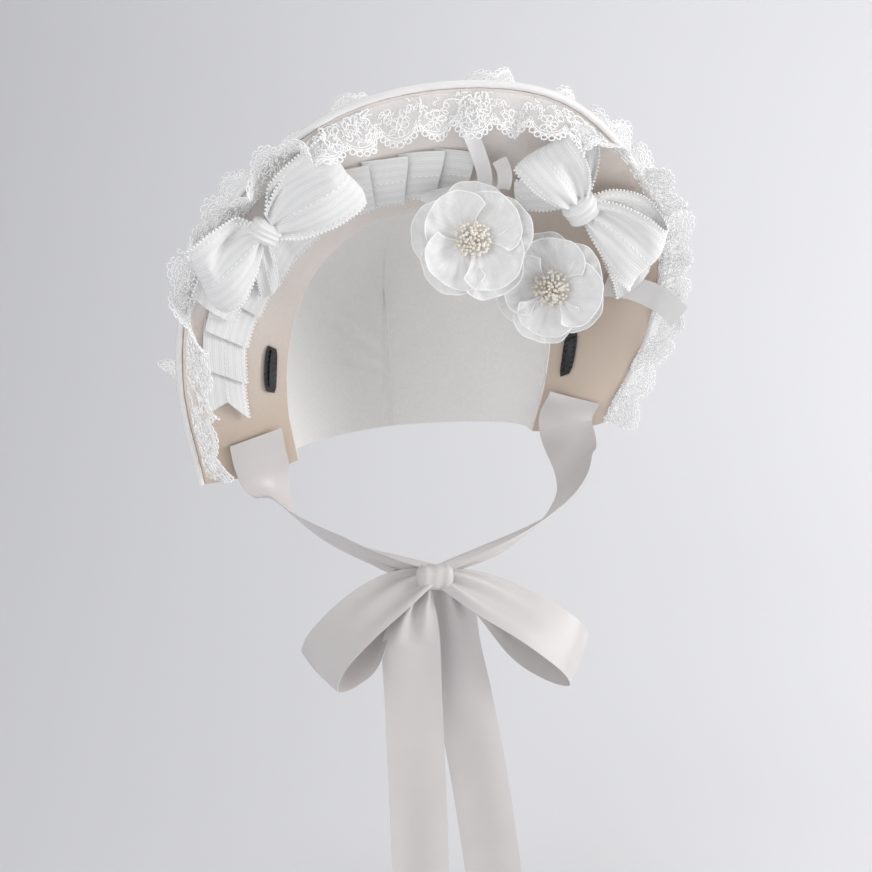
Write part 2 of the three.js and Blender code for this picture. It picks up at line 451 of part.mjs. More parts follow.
for (const [side, rows] of Object.entries(CHIN_TAILS)) {
  const N = 20, r = Array.from({ length: N + 1 }, (_, i) => spline(rows, i / N));
  add(`chin_tail_${side}`, ribbon(r.map(([x, y, z, half]) => ({ p: V(x, y, z), w: V(half * 0.985, half * (side === "left" ? 0.06 : -0.1), 0) })), SHEET, 1), SATIN);
}

export default group;
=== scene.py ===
import math
import bpy
import numpy as np
from mathutils import Matrix


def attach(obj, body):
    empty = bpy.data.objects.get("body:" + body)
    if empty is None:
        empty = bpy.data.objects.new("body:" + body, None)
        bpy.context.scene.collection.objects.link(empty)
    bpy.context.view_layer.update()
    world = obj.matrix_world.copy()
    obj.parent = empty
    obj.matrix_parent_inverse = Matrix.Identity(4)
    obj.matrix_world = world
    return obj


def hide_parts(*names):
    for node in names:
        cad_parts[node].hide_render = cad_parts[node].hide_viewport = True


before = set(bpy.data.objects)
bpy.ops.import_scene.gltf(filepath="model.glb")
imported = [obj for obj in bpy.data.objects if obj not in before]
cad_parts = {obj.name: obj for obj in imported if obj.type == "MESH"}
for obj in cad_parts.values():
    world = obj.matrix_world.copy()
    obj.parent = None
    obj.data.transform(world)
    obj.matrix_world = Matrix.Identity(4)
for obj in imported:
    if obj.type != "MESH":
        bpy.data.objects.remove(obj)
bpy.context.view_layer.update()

MM = 0.001

# ------------------------------------------------------------------ shared sizes (mm), as in the CAD part
ARCH = np.array([  # throat x y z, edge x y z, from the lower left end over the top to the lower right end
    [-86, 24, -164, -153, 14, -172], [-93, 12, -122, -166, -16, -98], [-91, -4, -76, -158, -46, -30],
    [-76, -20, -34, -122, -72, 28], [-44, -32, -5, -68, -92, 67], [0, -36, 4, 1, -98, 80],
    [44, -32, -5, 71, -92, 70], [76, -20, -34, 124, -72, 31], [91, -4, -76, 157, -46, -25],
    [92, 12, -120, 158, -16, -90], [84, 24, -160, 134, 16, -158]], float)
BRIM_BOW, BRIM_THICK, BIND_R = 4.0, 2.4, 2.4
LACE_BACK_H, LACE_FRONT_H, WAVES, LACE_SAG = 30.0, 29.0, 14.6, 22.0
FRONT_LEAN = np.array([[-1, 112], [-0.85, 110], [-0.74, 106], [-0.68, 70], [-0.62, 12], [-0.52, 12], [-0.42, 14],
                       [-0.36, 14], [-0.31, 36], [-0.26, 86], [-0.19, 136], [-0.12, 152], [0, 157], [0.06, 150], [0.12, 145],
                       [0.16, 126], [0.2, 112], [0.25, 102], [0.3, 90], [0.36, 70], [0.42, 48], [0.5, 28], [0.6, 14], [0.8, 13], [1, 18]], float)
BACK_LEAN = np.array([[-1, 112], [-0.87, 110], [-0.84, 78], [-0.81, 40], [-0.78, 78], [-0.75, 102], [-0.69, 104], [-0.6, 80], [-0.5, 92], [-0.4, 92],
                      [-0.3, 104], [-0.2, 108], [-0.08, 110], [0.02, 112], [0.09, 92], [0.18, 96], [0.25, 76], [0.32, 64],
                      [0.4, 42], [0.5, 24], [0.6, 10], [0.75, 6], [1, 8]], float)
BAND = np.array([[-0.83, 0.45, 0.83], [-0.7, 0.46, 0.85], [-0.4, 0.3, 0.74], [-0.1, 0.17, 0.58], [0.075, 0.17, 0.56]], float)
PLEATS, BOW_LIFT, TIE_W = 11, 18.0, 38.0
BOW_KNOT = (7.0, 11.0, 8.5)
LOOP_WAY = np.array([  # share of the way out, height, share of the half width
    [0, 2.4, 0.36], [0.25, 7.5, 0.72], [0.6, 11, 0.97], [0.88, 9, 1], [1, 2, 1],
    [0.88, -4.5, 1], [0.6, -5.5, 0.97], [0.25, -4.6, 0.72], [0, -2.4, 0.36]], float)
CHIN_WAY = np.array([
    [0, 2.4, 0.40], [0.25, 7.5, 0.78], [0.6, 13, 0.97], [0.88, 12.5, 1], [1, 2, 1],
    [0.88, -8.5, 1], [0.6, -12, 0.92], [0.25, -5.5, 0.52], [0, -2.4, 0.36]], float)


# ------------------------------------------------------------------ curves and the brim's own coordinates
def spline(rows, t):
    """Catmull-Rom through rows of equal step, t from 0 to 1."""
    rows = np.asarray(rows, float)
    n = len(rows) - 1
    ext = np.vstack([2 * rows[0] - rows[1], rows, 2 * rows[-1] - rows[-2]])
    f = np.clip(np.asarray(t, float), 0, 1) * n
    i = np.minimum(np.floor(f).astype(int), n - 1)
    u = (f - i)[..., None]
    a, b, c, d = ext[i], ext[i + 1], ext[i + 2], ext[i + 3]
    return 0.5 * (2 * b + (c - a) * u + (2 * a - 5 * b + 4 * c - d) * u**2 + (3 * b - a - 3 * c + d) * u**3)


def smooth(t):
    t = np.clip(t, 0, 1)
    return t * t * (3 - 2 * t)


def table(rows, s, col):
    """A column of a table read at s, eased between rows."""
    s = np.clip(np.asarray(s, float), rows[0, 0], rows[-1, 0])
    i = np.clip(np.searchsorted(rows[:, 0], s) - 1, 0, len(rows) - 2)
    t = smooth((s - rows[i, 0]) / (rows[i + 1, 0] - rows[i, 0]))
    return rows[i, col] + (rows[i + 1, col] - rows[i, col]) * t


def unit(a):
    return a / np.maximum(np.linalg.norm(a, axis=-1, keepdims=True), 1e-9)


def ruled(s, v):
    q = spline(ARCH, (np.asarray(s, float) + 1) / 2)
    return q[..., :3] + (q[..., 3:] - q[..., :3]) * np.asarray(v, float)[..., None]


def brim_frame(s, v):
    h = 1e-3
    s = np.clip(s, -1 + h, 1 - h)
    v = np.asarray(v, float)
    along = (ruled(s + h, v) - ruled(s - h, v)) / (2 * h)
    out = (ruled(s, v + h) - ruled(s, v - h)) / (2 * h)
    return along, out, unit(np.cross(along, out))


def on(s, v, off):
    s, v, off = np.broadcast_arrays(np.asarray(s, float), np.asarray(v, float), np.asarray(off, float))
    w = np.clip(v, 0, 1)
    _, _, n = brim_frame(s, w)
    return ruled(s, v) + n * (BRIM_BOW * 4 * w * (1 - w) + off)[..., None]


def edge(s):
    s = np.clip(np.asarray(s, float), -0.999, 0.999)
    along, out, off = brim_frame(s, np.ones_like(s))
    return on(s, np.ones_like(s), 0 * s), unit(out), off, unit(along)


# ------------------------------------------------------------------ meshes
def grid_normals(P):
    return unit(np.cross(np.gradient(P, axis=0), np.gradient(P, axis=1)))


def solid_grid(P, thick, uv, N=None):
    """A closed thin sheet round a grid of points: vertices, faces and a flat position for each vertex."""
    a, b = P.shape[:2]
    N = grid_normals(P) if N is None else N
    V = np.concatenate([(P + N * thick / 2).reshape(-1, 3), (P - N * thick / 2).reshape(-1, 3)])
    k = np.arange(a * b).reshape(a, b)
    top = np.stack([k[:-1, :-1], k[1:, :-1], k[1:, 1:], k[:-1, 1:]], -1).reshape(-1, 4)
    m = a * b
    rim = lambda x, y: np.stack([x[:-1], x[:-1] + m, y[1:] + m, y[1:]], -1)
    F = np.concatenate([top, top[:, ::-1] + m, rim(k[:, 0], k[:, 0]), rim(k[:, -1], k[:, -1])[:, ::-1],
                        rim(k[0], k[0])[:, ::-1], rim(k[-1], k[-1])])
    U = np.concatenate([uv.reshape(-1, 2)] * 2)
    return V, F, U


def tubes(paths, normals, radius, sides=4, closed=False, flat=0.8):
    """Threads along many polylines of one point count: paths and normals are (count, points, 3)."""
    P, N = np.asarray(paths, float), np.asarray(normals, float)
    c, n = P.shape[:2]
    T = (np.roll(P, -1, 1) - np.roll(P, 1, 1)) if closed else np.gradient(P, axis=1)
    B = unit(np.cross(unit(T), N))
    r = np.broadcast_to(np.asarray(radius, float), (c,))[:, None, None]
    ang = 2 * np.pi * np.arange(sides) / sides + np.pi / sides
    V = np.stack([P + N * (r * flat * math.sin(a)) + B * (r * math.cos(a)) for a in ang], 2)  # c n sides 3
    k = np.arange(c * n * sides).reshape(c, n, sides)
    nxt = np.roll(k, -1, 1) if closed else k[:, 1:]
    cur = k if closed else k[:, :-1]
    q = np.stack([cur, nxt, np.roll(nxt, -1, 2), np.roll(cur, -1, 2)], -1).reshape(-1, 4)
    F = [q]
    if not closed:
        F += [k[:, 0, :], k[:, -1, ::-1]] if sides == 4 else []
    return V.reshape(-1, 3), F


def ball():
    """A small round bead of 32 faces."""
    v = [(1, 0, 0), (-1, 0, 0), (0, 1, 0), (0, -1, 0), (0, 0, 1), (0, 0, -1)]
    f = [(0, 2, 4), (2, 1, 4), (1, 3, 4), (3, 0, 4), (2, 0, 5), (1, 2, 5), (3, 1, 5), (0, 3, 5)]
    v = [np.array(x, float) for x in v]
    mid, out = {}, []
    def half(a, b):
        key = (min(a, b), max(a, b))
        if key not in mid:
            v.append(unit(v[a] + v[b]))
            mid[key] = len(v) - 1
        return mid[key]
    for a, b, c in f:
        d, e, g = half(a, b), half(b, c), half(c, a)
        out += [(a, d, g), (d, b, e), (g, e, c), (d, e, g)]
    return np.array(v), np.array(out)


BALL_V, BALL_F = ball()


def beads(C, r):
    C = np.asarray(C, float).reshape(-1, 3)
    r = np.broadcast_to(np.asarray(r, float), (len(C),))
    V = (C[:, None, :] + BALL_V[None] * r[:, None, None]).reshape(-1, 3)
    F = (BALL_F[None] + (np.arange(len(C)) * len(BALL_V))[:, None, None]).reshape(-1, 3)
    return V, [F]


class Pile:
    """Gathers parts of one mesh."""
    def __init__(self):
        self.v, self.f, self.n, self.u = [], [], 0, []

    def add(self, V, F, U=None):
        for f in (F if isinstance(F, list) else [F]):
            self.f += (np.asarray(f) + self.n).tolist()
        self.v.append(V)
        self.u.append(np.zeros((len(V), 2)) if U is None else U)
        self.n += len(V)

    def all(self):
        return np.concatenate(self.v), self.f, np.concatenate(self.u)


def make(name, V, F, mat, rep=(), uv=None, sharp=55):
    me = bpy.data.meshes.new(name)
    me.from_pydata((np.asarray(V) * MM).tolist(), [], F.tolist() if isinstance(F, np.ndarray) else F)
    me.polygons.foreach_set("use_smooth", np.ones(len(me.polygons), bool))
    if uv is not None:
        layer = me.uv_layers.new(name="flat")
        idx = np.empty(len(me.loops), int)
        me.loops.foreach_get("vertex_index", idx)
        layer.data.foreach_set("uv", (np.asarray(uv)[idx] * MM).astype(np.float32).ravel())
    me.set_sharp_from_angle(angle=math.radians(sharp))
    me.validate()
    o = bpy.data.objects.new(name, me)
    bpy.context.scene.collection.objects.link(o)
    o.data.materials.append(mat)
    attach(o, "root")
    if rep:
        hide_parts(*([rep] if isinstance(rep, str) else rep))
    return o


def flat_uv(P):
    """Flat positions in mm of a ribbon grid: along, across from the middle."""
    du = np.linalg.norm(np.diff(P, axis=0), axis=2).mean(1)
    dv = np.linalg.norm(np.diff(P, axis=1), axis=2)
    u = np.concatenate([[0], np.cumsum(du)])
    w = np.concatenate([[0], np.cumsum(dv.max(0))])
    return np.stack(np.meshgrid(u, w - w[-1] / 2, indexing="ij"), -1)


# ------------------------------------------------------------------ materials
def node_mat(name, colour, rough, **kw):
    m = bpy.data.materials.new(name)
    m.use_nodes = True
    b = m.node_tree.nodes["Principled BSDF"]
    b.inputs["Base Color"].default_value = (*colour, 1)
    b.inputs["Roughness"].default_value = rough
    for k, v in kw.items():
        b.inputs[k.replace("_", " ")].default_value = v
    return m, m.node_tree, b


def link(t, a, b):
    t.links.new(a, b)


def math_node(t, op, a, b=None):
    n = t.nodes.new("ShaderNodeMath")
    n.operation = op
    for i, x in enumerate((a, b)):
        if x is None:
            continue
        if isinstance(x, (int, float)):
            n.inputs[i].default_value = x
        else:
            link(t, x, n.inputs[i])
    return n.outputs[0]


def noise(t, scale, detail=3, coord="Object"):
    tc = t.nodes.new("ShaderNodeTexCoord")
    n = t.nodes.new("ShaderNodeTexNoise")
    n.inputs["Scale"].default_value = scale
    n.inputs["Detail"].default_value = detail
    link(t, tc.outputs[coord], n.inputs["Vector"])
    return n.outputs["Fac"]


def ramp(t, fac, lo, hi, a=0.35, b=0.65):
    r = t.nodes.new("ShaderNodeValToRGB")
    r.color_ramp.elements[0].position, r.color_ramp.elements[1].position = a, b
    r.color_ramp.elements[0].color, r.color_ramp.elements[1].color = (*lo, 1), (*hi, 1)
    link(t, fac, r.inputs["Fac"])
    return r.outputs["Color"]


def bump(t, b, height, strength, dist):
    n = t.nodes.new("ShaderNodeBump")
    n.inputs["Strength"].default_value = strength
    n.inputs["Distance"].default_value = dist
    link(t, height, n.inputs["Height"])
    link(t, n.outputs["Normal"], b.inputs["Normal"])


def uv_axis(t, axis):
    u = t.nodes.new("ShaderNodeUVMap")
    u.uv_map = "flat"
    s = t.nodes.new("ShaderNodeSeparateXYZ")
    link(t, u.outputs["UV"], s.inputs[0])
    return s.outputs[axis]


def weave(t, pitch_mm):
    """A plain weave from the flat positions: two crossed waves."""
    k = 2 * math.pi / (pitch_mm * MM)
    a = math_node(t, "SINE", math_node(t, "MULTIPLY", uv_axis(t, "X"), k))
    b = math_node(t, "SINE", math_node(t, "MULTIPLY", uv_axis(t, "Y"), k))
    return math_node(t, "MULTIPLY", a, b)


def cloth_mat(name, lo, hi, rough, pitch, strength=0.3, sheen=0.2):
    m, t, b = node_mat(name, hi, rough)
    b.inputs["Sheen Weight"].default_value = sheen
    b.inputs["Sheen Roughness"].default_value = 0.5
    link(t, ramp(t, noise(t, 500, 4), lo, hi, 0.3, 0.7), b.inputs["Base Color"])
    w = weave(t, pitch)
    bump(t, b, math_node(t, "ADD", w, math_node(t, "MULTIPLY", noise(t, 900, 2), 1.2)), strength, 0.0002)
    return m


def brim_mat_warm_shaded(painted_warm_shade, high):
    """Brim cloth, ivory along the top of the arch and warmer down its ends, most of all on the right: the warmer tan
    is painted warm shade and reflected light off hair, not a colour of the cloth.
    """
    m, t, b = node_mat("brim_cloth", high, 0.82)
    b.inputs["Sheen Weight"].default_value = 0.2
    b.inputs["Sheen Roughness"].default_value = 0.5
    tc, s = t.nodes.new("ShaderNodeTexCoord"), t.nodes.new("ShaderNodeSeparateXYZ")
    link(t, tc.outputs["Object"], s.inputs[0])
    # painted warm shade: the colour turns tan lower down and further to the right
    fac = math_node(t, "ADD", math_node(t, "MULTIPLY", s.outputs["Z"], 8.0), 0.62)
    fac = math_node(t, "ADD", fac, math_node(t, "MULTIPLY", s.outputs["X"], -3.2))
    fac = math_node(t, "ADD", fac, math_node(t, "MULTIPLY", noise(t, 500, 4), 0.3))
    link(t, ramp(t, fac, painted_warm_shade, high, 0.1, 1.0), b.inputs["Base Color"])
    w = weave(t, 0.9)
    bump(t, b, math_node(t, "ADD", w, math_node(t, "MULTIPLY", noise(t, 900, 2), 1.2)), 0.3, 0.0002)
    return m


def satin_mat(name, lo, hi):
    m, t, b = node_mat(name, hi, 0.3)
    b.inputs["Sheen Weight"].default_value = 0.15
    b.inputs["Sheen Roughness"].default_value = 0.35
    b.inputs["Specular IOR Level"].default_value = 0.34
    link(t, ramp(t, noise(t, 40, 2), lo, hi, 0.3, 0.7), b.inputs["Base Color"])
    k = 2 * math.pi / (0.5 * MM)
    rib = math_node(t, "SINE", math_node(t, "MULTIPLY", uv_axis(t, "X"), k))
    link(t, math_node(t, "ADD", math_node(t, "MULTIPLY", noise(t, 25, 2), 0.08), 0.34), b.inputs["Roughness"])
    bump(t, b, rib, 0.03, 0.0001)
    return m


def ribbon_mat():
    """Fine lengthwise stripes: shiny and dull yarns side by side."""
    m, t, b = node_mat("picot_ribbon", (0.92, 0.915, 0.90), 0.65)
    b.inputs["Specular IOR Level"].default_value = 0.35
    b.inputs["Sheen Weight"].default_value = 0.2
    b.inputs["Sheen Roughness"].default_value = 0.4
    y = uv_axis(t, "Y")
    wave_of = lambda mm: math_node(t, "SINE", math_node(t, "MULTIPLY", y, 2 * math.pi / (mm * MM)))
    fine, mid, broad = wave_of(0.8), wave_of(1.9), wave_of(6.3)
    mix = math_node(t, "ADD", math_node(t, "MULTIPLY", fine, 0.35), math_node(t, "ADD", math_node(t, "MULTIPLY", mid, 0.35), math_node(t, "MULTIPLY", broad, 0.3)))
    fac = math_node(t, "ADD", math_node(t, "MULTIPLY", mix, 0.22), 0.5)
    link(t, ramp(t, fac, (0.80, 0.795, 0.785), (0.95, 0.947, 0.94), 0.3, 0.66), b.inputs["Base Color"])
    link(t, math_node(t, "ADD", math_node(t, "MULTIPLY", mid, 0.07), 0.66), b.inputs["Roughness"])
    cross = math_node(t, "SINE", math_node(t, "MULTIPLY", uv_axis(t, "X"), 2 * math.pi / (0.7 * MM)))
    bump(t, b, math_node(t, "ADD", mix, math_node(t, "MULTIPLY", cross, 0.25)), 0.45, 0.0003)
    return m


def organza_mat():
    m, t, b = node_mat("organza", (0.93, 0.92, 0.91), 0.5)
    b.inputs["Alpha"].default_value = 0.86
    # a faint painted glow, standing in for light that comes through the sheer organza
    b.inputs["Emission Color"].default_value = (0.95, 0.945, 0.94, 1)
    b.inputs["Emission Strength"].default_value = 0.025
    b.inputs["Sheen Weight"].default_value = 0.3
    b.inputs["Sheen Roughness"].default_value = 0.3
    y = uv_axis(t, "Y")
    shift = math_node(t, "ADD", y, math_node(t, "MULTIPLY", noise(t, 120, 3), 0.012))
    streak = math_node(t, "SINE", math_node(t, "MULTIPLY", shift, 2 * math.pi / (3.4 * MM)))
    fac = math_node(t, "ADD", math_node(t, "MULTIPLY", streak, 0.05), noise(t, 90, 4))
    link(t, ramp(t, fac, (0.89, 0.882, 0.872), (0.955, 0.95, 0.945), 0.35, 0.65), b.inputs["Base Color"])
    bump(t, b, math_node(t, "ADD", math_node(t, "MULTIPLY", streak, 0.35), noise(t, 160, 3)), 0.3, 0.0006)
    return m


def thread_mat(name, colour, alpha=1.0, through=0.0):
    m, t, b = node_mat(name, colour, 0.62)
    b.inputs["Emission Color"].default_value = (*colour, 1)
    b.inputs["Emission Strength"].default_value = through  # stands for the light that comes through fine threads
    b.inputs["Alpha"].default_value = alpha
    b.inputs["Sheen Weight"].default_value = 0.2
    dark = tuple(c * 0.9 for c in colour)
    link(t, ramp(t, noise(t, 900, 2), dark, colour), b.inputs["Base Color"])
    return m


def pearl_mat():
    m, t, b = node_mat("stamen", (0.86, 0.78, 0.62), 0.3)
    b.inputs["Coat Weight"].default_value = 0.5
    b.inputs["Coat Roughness"].default_value = 0.15
    link(t, ramp(t, noise(t, 240, 2), (0.84, 0.76, 0.62), (0.95, 0.91, 0.83), 0.35, 0.6), b.inputs["Base Color"])
    return m


def black_mat():
    m, t, b = node_mat("clip_black", (0.012, 0.012, 0.014), 0.35)
    b.inputs["Coat Weight"].default_value = 0.3
    link(t, ramp(t, noise(t, 400, 3), (0.008, 0.008, 0.01), (0.03, 0.03, 0.033)), b.inputs["Base Color"])
    link(t, math_node(t, "ADD", math_node(t, "MULTIPLY", noise(t, 700, 2), 0.25), 0.25), b.inputs["Roughness"])
    return m


# the first colour is painted warm shade for the brim's lower ends, the second is the ivory cloth
BRIM_M = brim_mat_warm_shaded((0.62, 0.515, 0.425), (0.86, 0.805, 0.77))
CROWN_M = cloth_mat("crown_cloth", (0.85, 0.835, 0.81), (0.895, 0.885, 0.865), 0.8, 0.9)
# the chin ribbons' satin is drawn darker than the binding satin: partly the darker diffuse tone of shiny satin,
# partly painted shade for the shade the chin ribbons hang in
SATIN_SHADED_M = satin_mat("satin", (0.65, 0.618, 0.608), (0.67, 0.64, 0.63))
BINDING_M = satin_mat("binding_satin", (0.85, 0.835, 0.82), (0.90, 0.885, 0.87))
SHEER_M = satin_mat("sheer_satin", (0.87, 0.86, 0.85), (0.92, 0.915, 0.905))
SHEER_M.node_tree.nodes["Principled BSDF"].inputs["Alpha"].default_value = 0.7
RIBBON_M, ORGANZA_M = ribbon_mat(), organza_mat()
NET_FRONT_M = thread_mat("lace_net_front", (0.96, 0.957, 0.95), 0.28, 0.05)
NET_BACK_M = thread_mat("lace_net_back", (0.95, 0.947, 0.94), 0.32, 0.05)
THREAD_M = thread_mat("lace_thread", (0.965, 0.965, 0.96), 1.0, 0.10)
PICOT_M = thread_mat("picot_thread", (0.96, 0.96, 0.95), 1.0, 0.05)
RIM_M = thread_mat("organza_rim", (0.96, 0.955, 0.945), 1.0, 0.12)
PEARL_M, BLACK_M = pearl_mat(), black_mat()


# ------------------------------------------------------------------ brim, rolled edge, crown
def build_brim():
    nu, nv = 150, 22
    u, v = np.meshgrid(np.linspace(-1, 1, nu + 1), np.linspace(0.012, 1, nv + 1), indexing="ij")
    soft = 0.5 * np.sin(9 * u + 3 * v) * np.sin(math.pi * v) + 0.3 * np.sin(23 * u + 1.3) * v
    P = on(u, v, 0.35 * soft)
    _, _, n = brim_frame(u, v)
    uv = flat_uv(P)
    V, F, U = solid_grid(P, BRIM_THICK, uv, n)
    o = make("brim_cloth", V, F, BRIM_M, "brim", U, 40)


def build_binding():
    n, k = 200, 14
    s = np.linspace(-1, 1, n + 1)
    p, out, off, _ = edge(s)
    c = p + out * (BIND_R + 0.35)
    a = 2 * np.pi * np.arange(k) / k
    pull = 1 + 0.035 * np.sin(150 * s)[:, None] * np.sin(2 * a)[None]
    ring = c[:, None] + (out[:, None] * np.cos(a)[None, :, None] + off[:, None] * np.sin(a)[None, :, None]) * (BIND_R * pull)[..., None]
    V = np.concatenate([ring.reshape(-1, 3), c[:1], c[-1:]])
    i = np.arange((n + 1) * k).reshape(n + 1, k)
    j = np.roll(i, -1, 1)
    F = np.stack([i[:-1], j[:-1], j[1:], i[1:]], -1).reshape(-1, 4).tolist()
    m = (n + 1) * k
    F += [[m, j[0, q], i[0, q]] for q in range(k)] + [[m + 1, i[-1, q], j[-1, q]] for q in range(k)]
    arc = np.concatenate([[0], np.cumsum(np.linalg.norm(np.diff(c, axis=0), axis=1))])
    U = np.concatenate([np.stack(np.meshgrid(arc, a * BIND_R, indexing="ij"), -1).reshape(-1, 2), [[0, 0], [0, 0]]])
    make("edge_binding", V, F, BINDING_M, "brim_binding", U, 60)


def crown_mid(s, w):
    t = spline(ARCH, (s + 1) / 2)
    a, th = np.abs(s), w * math.pi / 2
    by = 104 - 9 * (a - 0.45) ** 2
    bz = -58 - 102 * a
    full = 1 + 0.12 * np.sin(2 * th)
    return np.stack([t[..., 0] * np.cos(th) * full, t[..., 1] + 1.7 + (by - t[..., 1] - 1.7) * np.sin(th),
                     bz + (t[..., 2] - bz) * np.cos(th) * full], -1)


def build_crown():
    nu, nv = 168, 44
    s, w = np.meshgrid(np.linspace(-1, 1, nu + 1), np.linspace(0, 1, nv + 1), indexing="ij")
    P = crown_mid(s, w)
    N = unit(np.cross(np.gradient(P, axis=1), np.gradient(P, axis=0)))
    N[:, -1] = (0, 1, 0)
    # soft gathers: small folds that run out from the throat seam and from the seam down the back
    a = np.abs(s)
    front = np.exp(-w / 0.22) * (1 - np.exp(-w / 0.02)) * (np.sin(74 * s + 2 * np.sin(9 * s)) * 1.3 + 0.7 * np.sin(121 * s + 1))
    back = np.exp(-(1 - w) / 0.2) * (1 - np.exp(-(1 - w) / 0.03)) * np.sin(38 * a + 1.5 * np.sin(11 * a)) * 0.6
    slack = 1.6 * np.sin(5 * s + 2.2 * w) * np.sin(math.pi * w)
    P = P + N * (front + back + slack)[..., None]
    m = (nu + 1) * (nv + 1)
    th = 1.6
    V = np.concatenate([(P + N * th / 2).reshape(-1, 3), (P - N * th / 2).reshape(-1, 3)])
    k = np.arange(m).reshape(nu + 1, nv + 1)
    k[nu // 2 + 1:, -1] = k[:nu // 2, -1][::-1]  # the two sides share the seam down the back
    top = np.stack([k[:-1, :-1], k[:-1, 1:], k[1:, 1:], k[1:, :-1]], -1).reshape(-1, 4)
    F = [top, top[:, ::-1] + m]
    x = k[:, 0]
    F.append(np.stack([x[:-1], x[1:], x[1:] + m, x[:-1] + m], -1))
    for row, turn in ((k[0], 1), (k[-1], -1)):
        F.append(np.stack([row[:-1], row[:-1] + m, row[1:] + m, row[1:]], -1)[:, ::turn])
    out = []
    for f in np.concatenate(F).tolist():
        q = [x for i, x in enumerate(f) if x != f[i - 1]]
        if len(q) >= 3:
            out.append(q)
    uv = flat_uv(P).reshape(-1, 2)
    used = np.unique(np.concatenate([np.array(f) for f in out]))
    back_to = np.full(2 * m, -1)
    back_to[used] = np.arange(len(used))
    o = make("crown_cap", V[used], [[int(back_to[x]) for x in f] for f in out], CROWN_M, "crown",
             np.concatenate([uv, uv])[used], 60)


# ------------------------------------------------------------------ lace ruffles
def wave(s, k):
    return 0.75 * np.sin(math.pi * WAVES * s + k) + 0.25 * np.sin(math.pi * WAVES * 0.47 * s + 2.1 * k)


def sag(s):
    return smooth((s - 0.8) / 0.18)


def lace_back(s, h):
    p, out, off, along = edge(s)
    deg = table(BACK_LEAN, s, 1)
    lean = np.radians(deg - 15 * smooth((deg - 50) / 30) * wave(s, 2.6))
    run = h * LACE_BACK_H * (0.93 + 0.07 * wave(s, 2))
    shake = 3 * h + 8.5 * h * (1 + wave(s, 0.6)) * 0.5 + 1.3 * h * h * (1 + np.sin(math.pi * WAVES * 2.6 * s + 1))
    side = 6.0 * h * np.cos(math.pi * WAVES * s + 0.6) + 1.5 * h * h * np.cos(math.pi * WAVES * 2.6 * s) + 0.7 * LACE_SAG * h * sag(s)
    return (p + out * (-6 + run * np.cos(lean) - shake * np.sin(lean))[..., None]
            + off * (-3.4 - run * np.sin(lean) - shake * np.cos(lean))[..., None] + along * side[..., None])


FRONT_SHAKE = np.array([[-1, 4], [-0.74, 4], [-0.66, 10], [-0.54, 14], [-0.4, 15], [-0.33, 13], [-0.24, 6], [-0.18, 4.2], [0.12, 4.2], [0.22, 6], [1, 5.5]], float)
FRONT_ROOT = np.array([[-1, -1.2], [-0.67, -2], [-0.61, -7], [-0.5, -10], [-0.35, -11], [-0.3, -5], [-0.25, -1.2], [1, -1.2]], float)


def lace_front(s, h):
    p, out, off, along = edge(s)
    lean = np.radians(table(FRONT_LEAN, s, 1))
    run = h * LACE_FRONT_H
    shake = table(FRONT_SHAKE, s, 1) * h**1.35 * wave(s, 1.9) + 1.2 * h * h * np.sin(math.pi * WAVES * 2.3 * s)
    side = 7.0 * h * np.cos(math.pi * WAVES * s + 1.9) + 1.2 * h * h * np.cos(math.pi * WAVES * 2.3 * s) + LACE_SAG * h * sag(s)
    return (p + out * (table(FRONT_ROOT, s, 1) + run * np.cos(lean) - shake * np.sin(lean))[..., None]
            + off * (2.7 + run * np.sin(lean) + shake * np.cos(lean))[..., None] + along * side[..., None])


